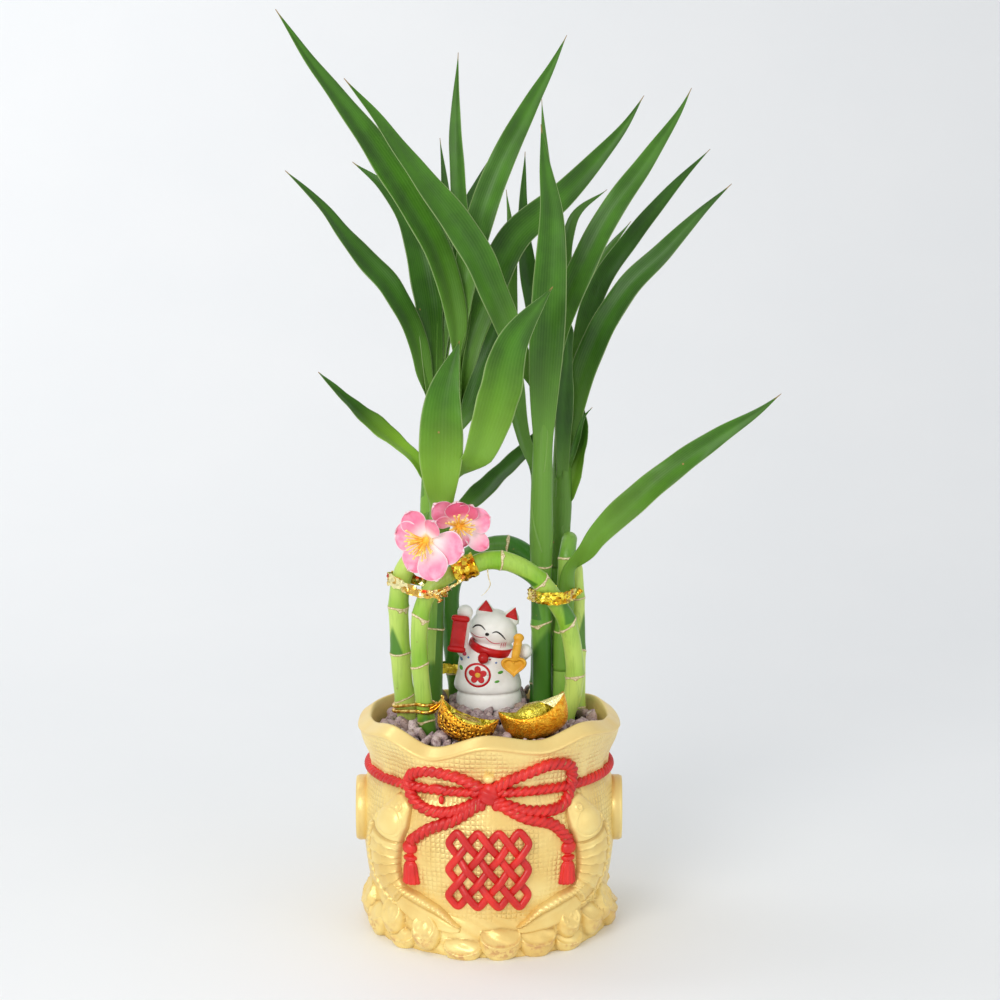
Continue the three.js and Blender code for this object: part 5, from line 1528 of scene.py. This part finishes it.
def make_ties():
    foil = crinkled_foil("gold_foil", paint("fff4b4"), paint("e2ad3c"), 3, 0.5)
    ribbon = crinkled_foil("gold_ribbon", paint("ffe750"), paint("c8860e"), 3, 0.5)
    bright = polished_wire()
    form = Form()
    foil_band(form, [(-40.2, -0.6, 160, 4.8), (-26.4, -11, 156.5, 6.6)], 5.6, seed=3, red=1.0, waist=0.4,
              middle=-26)
    twist_end(form, [(-27, -17.6, 156.2), (-24, -18.2, 156.4), (-21, -18.6, 157.4), (-17.5, -18.6, 159.6)],
              1.5, 1)
    twist_end(form, [(-24.5, -18, 156.2), (-22.6, -19, 154.8), (-21.6, -19.2, 153.2)], 1.3, 2)
    twist_end(form, [(-17.5, -18.6, 159.6), (-14, -18, 161.4), (-10.7, -17.4, 164.6)], 1.1, 6)
    piece("foil_left_top", form, [foil], "foil", "tie_left_top", crease=14)

    form = Form()
    for lift, tilt, gap, thick in ((-0.4, 0, 0.9, 0.95), (1.9, 1, 0.95, 0.8)):
        spots = [(-38.6, 4.5, 97.8 + lift, 4.7), (-28.8, -12, 102 + lift + tilt, 3.8)]
        route = band_route(spots, gap, 60)
        around = Course(np.vstack([route[::6], route[:1]]))
        points, faces, _, _ = tube(around, 200, 12, lambda share, turn, r=thick: r + 0 * share)
        form.add(points, faces, red=0)
    wire(form, [(-27.5, -16.6, 101.6), (-23.6, -16.2, 103.4), (-21.2, -15.4, 106.4), (-20.9, -14.8, 109.2)],
         0.85)
    wire(form, [(-27, -16.4, 103), (-23, -15.8, 105.4), (-20.6, -14.6, 108)], 0.7)
    wire(form, [(-21.6, -15.6, 109.6), (-20.8, -15.2, 107.4), (-20, -14.8, 105.4)], 0.6)
    piece("wire_left_foot", form, [bright], "foil", "tie_left_foot")

    form = Form()
    foil_band(form, [(-27.6, 28, 112.4, 4.1), (-16.4, 41.5, 108.6, 4.5)], 4.6, 0.7, seed=5)
    piece("foil_left_rear", form, [ribbon], "foil", "tie_left_rear", crease=14)

    form = Form()
    for level, seed in ((1.3, 9), (-1.3, 11)):
        spots = [(28.8, -2.2, 152.6 + level, 7), (35.2, 24, 148.4 + level, 4.1),
                 (24.2, 23, 148.4 + level, 4.8)]
        foil_band(form, spots, 2.9, seed=seed)
    twist_end(form, [(36.4, 7.6, 149.2), (38.8, 9.4, 149.6), (40.8, 10.4, 150.8), (42.4, 10.8, 153)], 1.35, 4)
    piece("foil_right", form, [ribbon], "foil", "tie_right", crease=14)

    route = Course([(-15.6, -11, 165), (-13.6, -11, 165.8), (-8, -10.6, 168.2), (-6, -10.4, 169)])
    random = np.random.default_rng(21)
    rings, sides = 17, 30
    lumps = random.uniform(-0.3, 0.45, (rings, sides))

    def wrapped(share, turn):
        wind = 0.3 * np.sin(share * 16 + turn)
        return 5.3 + wind + lumps

    points, faces, share, turn = tube(route, rings, sides, wrapped)
    red = ((share < 0.4) & (np.sin(turn + 1.2) < -0.2)).astype(float)
    piece("ribbon_arch", Form().add(points, faces, red=red), [ribbon], "foil", "tie_arch", crease=14)


# Blossoms

BLOOMS = {
    "left": dict(
        place=(-27.4, -19.4, 181.4), aim=(-0.35, -1, 0.05),
        wire=[(-36.6, -6.6, 165), (-35, -9.5, 170.5), (-31.4, -12.5, 177), (-28.4, -15.8, 180.6),
              (-27.2, -17.6, 181.2)],
        petals=[(152, 13.6, 15.5, 3.2, 0, 1.7), (270, 17.5, 16.5, 3.6, 0.05, 1.5), (222, 15, 15, 2.4, 0, 1.7),
                (108, 14, 14, 2, 0.45, 2), (327, 17.6, 16.5, 3.4, 0.1, 1.2), (35, 10.5, 11, 8.5, 0.4, 3.4)],
        threads=[(200, 75, 19, 9.6), (270, 40, 5, 7)]),
    "right": dict(
        place=(-13.8, -12.4, 187), aim=(0.15, -1, -0.1),
        wire=[(-12, -10.8, 173), (-12.6, -9.8, 177.4), (-13.2, -9, 182), (-13.6, -10.4, 186.4)],
        petals=[(146, 14.5, 13, 4.4, 0.3, 2.6), (106, 11, 13, 5.6, 0.9, 2), (68, 10.5, 12, 6.2, 0.75, 2.4),
                (24, 13.5, 14, 3, -0.2, 1.5), (330, 16, 11.5, 3, -0.7, 3.6), (285, 9.5, 10, 1, 0.1, 2),
                (172, 10, 7, 6, 0.2, 3)],
        threads=[(30, 60, 11, 8), (150, 60, 8, 7), (270, 50, 5, 6)]),
}


def in_bloom_frame(points, bloom):
    turn = Vector((0, 0, 1)).rotation_difference(Vector(bloom["aim"]))
    return np.asarray(points) @ np.array(turn.to_matrix()).T + np.array(bloom["place"], float)


def petal(form, bloom, degrees, length, width, cup, deep, curl, lift, seed):
    """Broad petal with a narrow foot; curl folds its two sides up."""
    rows, columns = 32, 25
    share = (1 - (1 - np.linspace(0, 1, rows)) ** 1.5)[:, None]
    q = np.linspace(-1, 1, columns)[None, :]
    swell = np.where(share < 0.6, 0.24 + 0.76 * smooth(-0.12, 0.6, share),
                     np.sqrt(np.clip(1 - ((share - 0.6) / 0.4) ** 2, 0.0009, 1)))
    x = 1.4 + length * share * (1 - 0.05 * share * q * q + 0.015 * share ** 4 * np.sin(11 * q + 3 * seed))
    y = width / 2 * swell * q * (1 - 0.06 * curl * q * q)
    ruffle = 0.55 * np.sin(4.4 * q + seed) * share ** 2 + 0.4 * np.sin(9 * q + 2 * seed) * share ** 3
    folded = curl * q * q * share * (1 - 0.35 * share) * width / 14
    rise = lift + cup * share ** 1.5 + folded + ruffle - 1.3 * share ** 5
    top = np.stack([x, y, rise], -1)
    points, faces = slab(top, top - np.array([0, 0, 0.34]))
    points = in_bloom_frame(turned(points, (0, 0, degrees)), bloom)
    both = lambda values: np.tile(np.broadcast_to(values, (rows, columns)).ravel(), 2)
    edge = np.maximum(abs(q), share ** 3 + 0 * q)
    # Painted shade: deep darkens petals that face down and their backs a little more; below zero it paints
    # the petal lighter.
    shade = np.concatenate([np.full(rows * columns, deep), np.full(rows * columns, min(deep + 0.35, 1))])
    form.add(points, faces, along=both(share), across=both(q), edge=both(edge), deep=shade)


def bloom_petals(bloom):
    form = Form()
    for i, (degrees, length, width, cup, deep, curl) in enumerate(bloom["petals"]):
        petal(form, bloom, degrees, length, width, cup, deep, curl, 0.9 * (i % 2), i * 1.7)
    heart = [(0.4, -3.2), (1.5, -3), (2.6, -1.4), (2.8, 0.2), (2.2, 0.9), (0.4, 1)]
    points, faces = lathe(heart, 28)
    form.add(in_bloom_frame(points, bloom), faces, along=0.05, across=0, edge=0, deep=0)
    course = Course(bloom["wire"])
    points, faces, _, _ = tube(course, 30, 10, lambda share, turn: 0.7 + 0 * share)
    form.add(points, faces, along=0.05, across=0, edge=0, deep=0)
    return form


def bloom_stamens(bloom, seed):
    """Threads in sheaves, each sheaf given by its direction, spread, count and length."""
    random = np.random.default_rng(seed)
    form = Form()
    points, faces = ball((0, 0, 1.9), (1.7, 1.7, 1.5), across=24, down=14)
    form.add(in_bloom_frame(points, bloom), faces, tip=0)
    for degrees, spread, count, length in bloom["threads"]:
        for i in range(count):
            turn = math.radians(degrees + spread * (2 * (i + 0.5) / count - 1) + random.uniform(-6, 6))
            lean = random.uniform(0.45, 1.25)
            reach = length * random.uniform(0.8, 1)
            way = np.array([math.cos(turn) * math.sin(lean), math.sin(turn) * math.sin(lean), math.cos(lean)])
            root = np.array([0.8 * math.cos(turn), 0.8 * math.sin(turn), 2.2])
            bend = root + way * reach * 0.5 + np.array([0, 0, 0.7])
            end = root + way * reach * 0.95
            thin = lambda share, turn: 0.36 - 0.1 * share
            points, faces, share, _ = tube(Course([root, bend, end]), 14, 8, thin)
            form.add(in_bloom_frame(points, bloom), faces, tip=share * 0.3)
            points, faces = ball(end, (0.62, 0.46, 0.55), across=12, down=8)
            form.add(in_bloom_frame(points, bloom), faces, tip=1)
    return form


def make_blooms():
    silk, thread = petal_silk(), stamen_thread()
    for seed, (name, bloom) in enumerate(BLOOMS.items()):
        piece(f"petals_{name}", bloom_petals(bloom), [silk], "petal", f"bloom_{name}")
        piece(f"stamens_{name}", bloom_stamens(bloom, seed), [thread], "stamen", f"bloom_{name}_stamens")


# Beckoning cat

CAT_SOLE = 0.6
CAT = np.array([-0.2, 27, bed_height(33) + 0.3 - CAT_SOLE])


def section_stack(sections):
    """Body through oval sections of height, half width, half depth and the middle's x."""
    course = Course(sections, 6).points
    turn = circle(64)
    z, wide, deep, x = (column[:, None] for column in course.T)
    return closed_skin(np.stack([x + wide * np.cos(turn), deep * np.sin(turn), z + 0 * turn], -1))


def cat_figure():
    """Cushion, bell-shaped body, head with its ears and the two raised paws, cast in one."""
    form = Form()
    cushion = [(0.6, 13.4, 10.6, 0), (1.2, 14.9, 12.2, 0), (4.2, 15.5, 12.7, 0), (7.4, 15, 12.2, 0),
               (8.8, 13.6, 10.8, 0), (9, 11, 9, 0)]
    form.add(*section_stack(cushion))
    body = [(8.6, 13, 10.6, -0.4), (9.6, 15.4, 12.2, -0.5), (11.6, 16, 12.4, -0.6), (14.5, 15.4, 12, -0.6),
            (18, 14.4, 11.6, -0.6), (22, 13.9, 11.2, -0.6), (26, 13.2, 10.6, -0.4), (29.5, 11.2, 9.4, 0.2),
            (32, 8.4, 7.6, 0.8), (34, 6, 6, 1)]
    form.add(*section_stack(body))

    def cheeks(p):
        wide = 1 + 0.1 * np.exp(-((p[..., 2:3] + 0.35) / 0.4) ** 2)
        high = 1 - 0.06 * abs(p[..., 0:1]) * (p[..., 2:3] > 0)
        return p * np.concatenate([wide, np.ones_like(wide), high], -1)

    form.add(*ball((2.2, -1.2, 38.6), (11, 9.8, 9.2), (0, 13, 0), 64, 44, cheeks))
    ear = [(4.6, -2.4), (4.1, 0), (2.6, 2.2), (1.1, 4), (0.35, 4.9)]
    for x, z, lean in ((-1.6, 47.4, 4), (10.4, 44.2, 20)):
        points, faces = lathe(Course(ear, 5).points, 40)
        form.add(turned(points * np.array([1, 0.52, 1]), (0, lean, 0)) + np.array([x, -1.6, z]), faces)
    arms = [([(-8.5, -3, 24), (-12.6, -6.5, 31), (-12.4, -9.6, 38), (-11.2, -10.6, 46)], 3.3),
            ([(8.5, -3, 25), (13.6, -7, 26.4), (16.4, -10.4, 28.6)], 3.2)]
    for stops, radius in arms:
        course = Course(stops)
        points, faces, _, _ = tube(course, 40, 28, lambda share, turn, r=radius: r + 0 * share)
        form.add(points, faces)
    form.add(*ball((-11, -10.6, 48.2), (3.7, 3.3, 3.5)))
    form.add(*ball((16.9, -11.4, 29.8), (3.2, 3, 3.5), (0, -12, 0)))
    points, faces = melted(form, 0.46, 4)
    points[:, 2] = np.maximum(points[:, 2], CAT_SOLE)
    # Painted shade in the crease where the body meets the cushion.
    seam_shade = np.exp(-((points[:, 2] - 8.9) / 0.5) ** 2) * (np.hypot(points[:, 0], points[:, 1]) > 9)
    return points, faces, seam_shade


class Canvas:
    """The painted side of the cat: puts flat shapes, given in x and z, on its surface as thin coats."""

    def __init__(self, points, faces):
        self.tree = BVHTree.FromPolygons(points.tolist(), faces)
        self.shapes = {}

    def land(self, x, z):
        place, normal, _, _ = self.tree.ray_cast(Vector((x, -60, z)), Vector((0, 1, 0)))
        if place is None:
            return np.array([x, -2.0, z]), np.array([0, -1.0, 0])
        return np.array(place), np.array(normal)

    def coat(self, colour, grid, thickness=0.09):
        """Closed thin coat on a grid of x and z pairs."""
        rows, columns, _ = grid.shape
        landed = [self.land(x, z) for x, z in grid.reshape(-1, 2)]
        places = np.array([p for p, _ in landed]).reshape(rows, columns, 3)
        normals = np.array([n for _, n in landed]).reshape(rows, columns, 3)
        points, faces = slab(places + normals * thickness, places - normals * 0.12)
        self.shapes.setdefault(colour, Form()).add(points, faces, low=0)

    def stroke(self, colour, path, width):
        """Brush line along x and z points, thinner at both ends."""
        taper = 0.35
        course = Course(path)
        shares = np.linspace(0, 1, max(int(course.length / 0.35), 8))
        middle, heading = course.at(shares), course.heading(shares)
        side = np.stack([-heading[:, 1], heading[:, 0]], -1)
        half = width / 2 * (taper + (1 - taper) * np.sin(np.pi * shares) ** 0.6)
        sides = np.array([-1, 0, 1])[None, :, None]
        grid = middle[:, None, :] + side[:, None, :] * half[:, None, None] * sides
        self.coat(colour, grid)

    def blob(self, colour, x, z, size, turn=0.0, outline=None, rings=7, sides=40, thickness=0.09):
        """Filled shape round a middle; outline gives its reach by the turn in radians."""
        turns = np.linspace(0, 2 * np.pi, sides + 1)
        reach = outline(turns) if outline else 1 + 0 * turns
        share = np.linspace(0.02, 1, rings)[:, None]
        wide = size[0] * share * reach * np.cos(turns)
        high = size[1] * share * reach * np.sin(turns)
        c, s = math.cos(math.radians(turn)), math.sin(math.radians(turn))
        grid = np.stack([x + c * wide - s * high, z + s * wide + c * high], -1)
        self.coat(colour, grid, thickness)


def paint_face(canvas):
    canvas.stroke("black", [(-7.6, 39.8), (-5.9, 41.3), (-3.6, 41.4), (-1.6, 39.6)], 0.7)
    canvas.stroke("black", [(1.5, 38.3), (3.5, 38.9), (5.6, 37.6), (7.8, 34.8)], 0.7)
    canvas.blob("black", -0.8, 37.6, (0.95, 0.8))
    canvas.stroke("rose", [(-8.4, 37.4), (-6.6, 36.2), (-4.2, 35.8), (-1.7, 36.2)], 0.42)
    canvas.stroke("rose", [(-1.7, 36.2), (0.2, 34.2), (2.6, 32.9), (5.3, 33)], 0.42)
    for x in (6.2, 7.2, 8.1):
        canvas.stroke("rose", [(x, 33.4), (x - 0.5, 31.6), (x - 0.6, 30.4)], 0.3)


def paint_ears(canvas):
    triangle = lambda turns: 1 / np.maximum(np.cos((turns - np.pi / 2) % (2 * np.pi / 3) - np.pi / 3), 0.5)
    canvas.blob("red", -1.5, 48.9, (2.1, 1.7), -4, triangle)
    canvas.blob("red", 11.2, 45.4, (1.9, 1.8), -22, triangle)


def paint_emblem(canvas):
    """Round blossom sign on the belly, and loose dabs of colour about it."""
    x, z = -5.2, 18.2
    canvas.blob("red", x, z, (6.2, 5.7), thickness=0.09)
    canvas.blob("white", x, z, (5.2, 4.7), thickness=0.14)
    for k in range(5):
        angle = math.radians(90 + 72 * k)
        petal_x, petal_z = x + 2.6 * math.cos(angle), z + 2.5 * math.sin(angle)
        canvas.blob("red", petal_x, petal_z, (1.75, 1.5), 72 * k + 90, thickness=0.2, rings=5, sides=24)
    canvas.blob("gold", x, z, (1.25, 1.15), thickness=0.26, rings=4, sides=20)
    dabs = [("blue", -13, 25, 0.7, 1.2), ("blue", -9.6, 26, 0.5, 0.5), ("green", -13, 20.6, 0.8, 1.1),
            ("green", 5.4, 19.4, 1.3, 0.7), ("green", 3.8, 15.2, 1.2, 0.6), ("rose", -11.4, 28, 0.9, 1.2),
            ("rose", 0.6, 25.6, 0.5, 0.4), ("blue", 3.4, 24, 0.5, 0.4)]
    for colour, a, b, wide, high in dabs:
        canvas.blob(colour, a, b, (wide, high), 12, rings=4, sides=16)


def cat_scroll():
    """Hanging scroll with a roll at each end, its field bare."""
    form = Form()
    rows, columns = 40, 22
    z = np.linspace(-7.3, 7.3, rows)[:, None]
    x = np.linspace(-3.4, 3.4, columns)[None, :]
    bow = -0.25 * np.cos(x / 3.4 * 1.4) + 0.12 * np.sin(z * 0.9)
    hem = 0.22 * smooth(2.7, 3.1, abs(x))
    flat = xyz(x, bow - hem - 0.35, z)
    points, faces = slab(flat, flat + np.array([0, 1.2, 0]))
    form.add(points, faces)
    for end in (-7.3, 7.3):
        roll = Course([(-4.3, 0, end), (-2, 0, end), (2, 0, end), (4.3, 0, end)])
        neck = lambda share, at: 0.12 * np.exp(-((share - at) / 0.03) ** 2)
        waist = lambda share: 1 - neck(share, 0.12) - neck(share, 0.88)
        shape = lambda share, turn: rounded(share, 1.55, roll.length) * waist(share)
        points, faces, _, _ = tube(roll, 50, 26, shape)
        form.add(points, faces)
    form.points = [turned(p, (0, 8, 0)) + CAT + np.array([-14, -15.9, 39]) for p in form.points]
    return form


def cat_charm():
    """Gold heart with a raised border, on a stout handle with a knob."""
    form = Form()
    turns = circle(96)
    upright = 13 * np.cos(turns) - 5 * np.cos(2 * turns) - 2 * np.cos(3 * turns) - np.cos(4 * turns)
    outline = np.stack([16 * np.sin(turns) ** 3, upright], -1)
    outline = outline / 17 * np.array([6.3, 5.6]) * 1.02
    share = np.array([0.01, 0.3, 0.55, 0.68, 0.74, 0.8, 0.88, 0.95, 1.0, 1.0, 0.94, 0.5, 0.01])
    depth = np.array([-1.7, -1.7, -1.6, -1.6, -1.9, -2.5, -2.6, -2.3, -1.5, -0.9, -0.3, -0.2, -0.2])
    share, depth = share[:, None], depth[:, None]
    rings = xyz(share * outline[:, 0], depth, share * outline[:, 1])
    form.add(*closed_skin(rings))
    handle = Course([(0.4, -1.2, 2.6), (1.4, -1.2, 8), (2.2, -1.2, 13)])
    grip = lambda share, turn: 1.75 + 0.25 * np.sin(share * 3.1) + 0.2 * np.exp(-((share - 0.75) / 0.05) ** 2)
    points, faces, _, _ = tube(handle, 40, 24, grip)
    form.add(points, faces)
    form.add(*ball((2.3, -1.2, 13.4), (2.5, 1.9, 2.1)))
    points, faces = melted(form, 0.3, 3)
    return Form().add(points + CAT + np.array([11.6, -15.4, 23.9]), faces, low=0)


def cat_collar():
    """Broad band round the neck, with a bell."""
    form = Form()
    turn = circle(120)[:, None]
    section = circle(22)[None, :]
    reach = 9.6 + 1.3 * np.cos(section)
    up = 2.3 * np.sin(section) * (1 + 0.12 * np.cos(2 * section))
    points = np.stack([reach * np.cos(turn), reach * 0.96 * np.sin(turn), up + 0 * turn], -1).reshape(-1, 3)
    form.add(turned(points, (6, 13, 0)) + np.array([1.2, -1.0, 29.6]), ring_faces(120, 22))
    bell = lambda p: p * (1 - 0.05 * np.exp(-(p[..., 2:3] / 0.12) ** 2))
    form.add(*ball((-2.6, -12.6, 26.6), (2.6, 2.5, 2.6), across=36, down=28, shape=bell))
    form.points = [p + CAT for p in form.points]
    return form


def make_cat():
    points, faces, seam_shade = cat_figure()
    white = glazed("white_glaze", paint("fcfbf8"), paint("f3f2ee"), 0.34, 1.6, 0.12)
    red = glazed("red_glaze", paint("cc0e12"), paint("b00a0e"), 0.3)
    piece("cat", Form().add(points + CAT, faces, low=seam_shade), [white], "figure", "cat_figure")
    piece("collar", cat_collar(), [red], "red_paint", "cat_collar")
    piece("scroll", cat_scroll(), [red], "red_paint", "cat_scroll")
    gold = glazed("charm_paint", paint("f0b63c"), paint("e39f26"), 0.36, 1.4, 0.12)
    piece("charm", cat_charm(), [gold], "charm", "cat_charm")
    canvas = Canvas(points, faces)
    paint_face(canvas)
    paint_ears(canvas)
    paint_emblem(canvas)
    inks = {"black": "161513", "rose": "cf4a63", "red": "cf1f26", "white": "f6f4f0", "gold": "e8b23a",
            "blue": "4a7fc4", "green": "58a83a"}
    for colour, form in canvas.shapes.items():
        form.points = [p + CAT for p in form.points]
        ink = glazed(f"{colour}_ink", paint(inks[colour]), paint(inks[colour]), 0.3, 1.0, 0.03)
        piece(f"cat_ink_{colour}", form, [ink], "figure", "cat_figure")


# Ingots

INGOTS = {
    "left": dict(x=-13, y=-31, lift=2.6, length=27, width=15, height=14, dome=0.74, turns=(0, 20, -4)),
    "right": dict(x=23.4, y=-26, lift=2.3, length=31, width=17, height=16, dome=0.98, turns=(0, -16, 8)),
}


def ingot_form(x, y, lift, length, width, height, dome, turns):
    sides = 100
    rings = boat(length, width, height, dome, sides, 8)
    points, faces = closed_skin(rings)
    rank = np.concatenate([np.repeat(np.linspace(0, 1, len(rings)), sides), [0, 1]])
    placed = turned(points, turns) + np.array([x, y, bed_height(y) + lift])
    # fold marks the valley between rim and dome, which gets painted shade.
    return Form().add(placed, faces, side=smooth(0.36, 0.3, rank), top=smooth(0.5, 0.56, rank), flap=0,
                      fold=np.exp(-((rank - 0.7) / 0.025) ** 2))


def horn_flap():
    """Folded corner of the foil, from the dome of the right ingot up to its horn."""
    rows, columns = 14, 14
    u = np.linspace(0, 1, rows)[:, None, None]
    v = np.linspace(0, 1, columns)[None, :, None]
    corners = [(33.6, -27.4, 113.6), (22.6, -27.6, 109.4), (29.6, -30.4, 107)]
    horn, left, low = np.array(corners)
    face = horn + (left - horn) * u * (1 - v) + (low - horn) * u * v
    face = face + np.array([0, -1, 0.6]) * 0.7 * np.sin(np.pi * v) * u
    return slab(face, face + np.array([0.2, 1.4, -0.5]))


def make_ingots():
    for name, ingot in INGOTS.items():
        finish = gold_foil(f"ingot_foil_{name}", name == "left")
        form = ingot_form(**ingot)
        if name == "right":
            form.add(*horn_flap(), side=0, top=1, flap=0.85, fold=0)
        piece(f"gold_boat_{name}", form, [finish], "ingot", f"ingot_{name}")


look_through_camera()
light_studio()
lay_floor()
make_pot(gold_paint(), red_paint())
piece("gravel_bed", gravel(), [stone_skin(), soil()], "gravel", "gravel")
make_canes()
make_leaves()
make_ties()
make_blooms()
make_cat()
make_ingots()

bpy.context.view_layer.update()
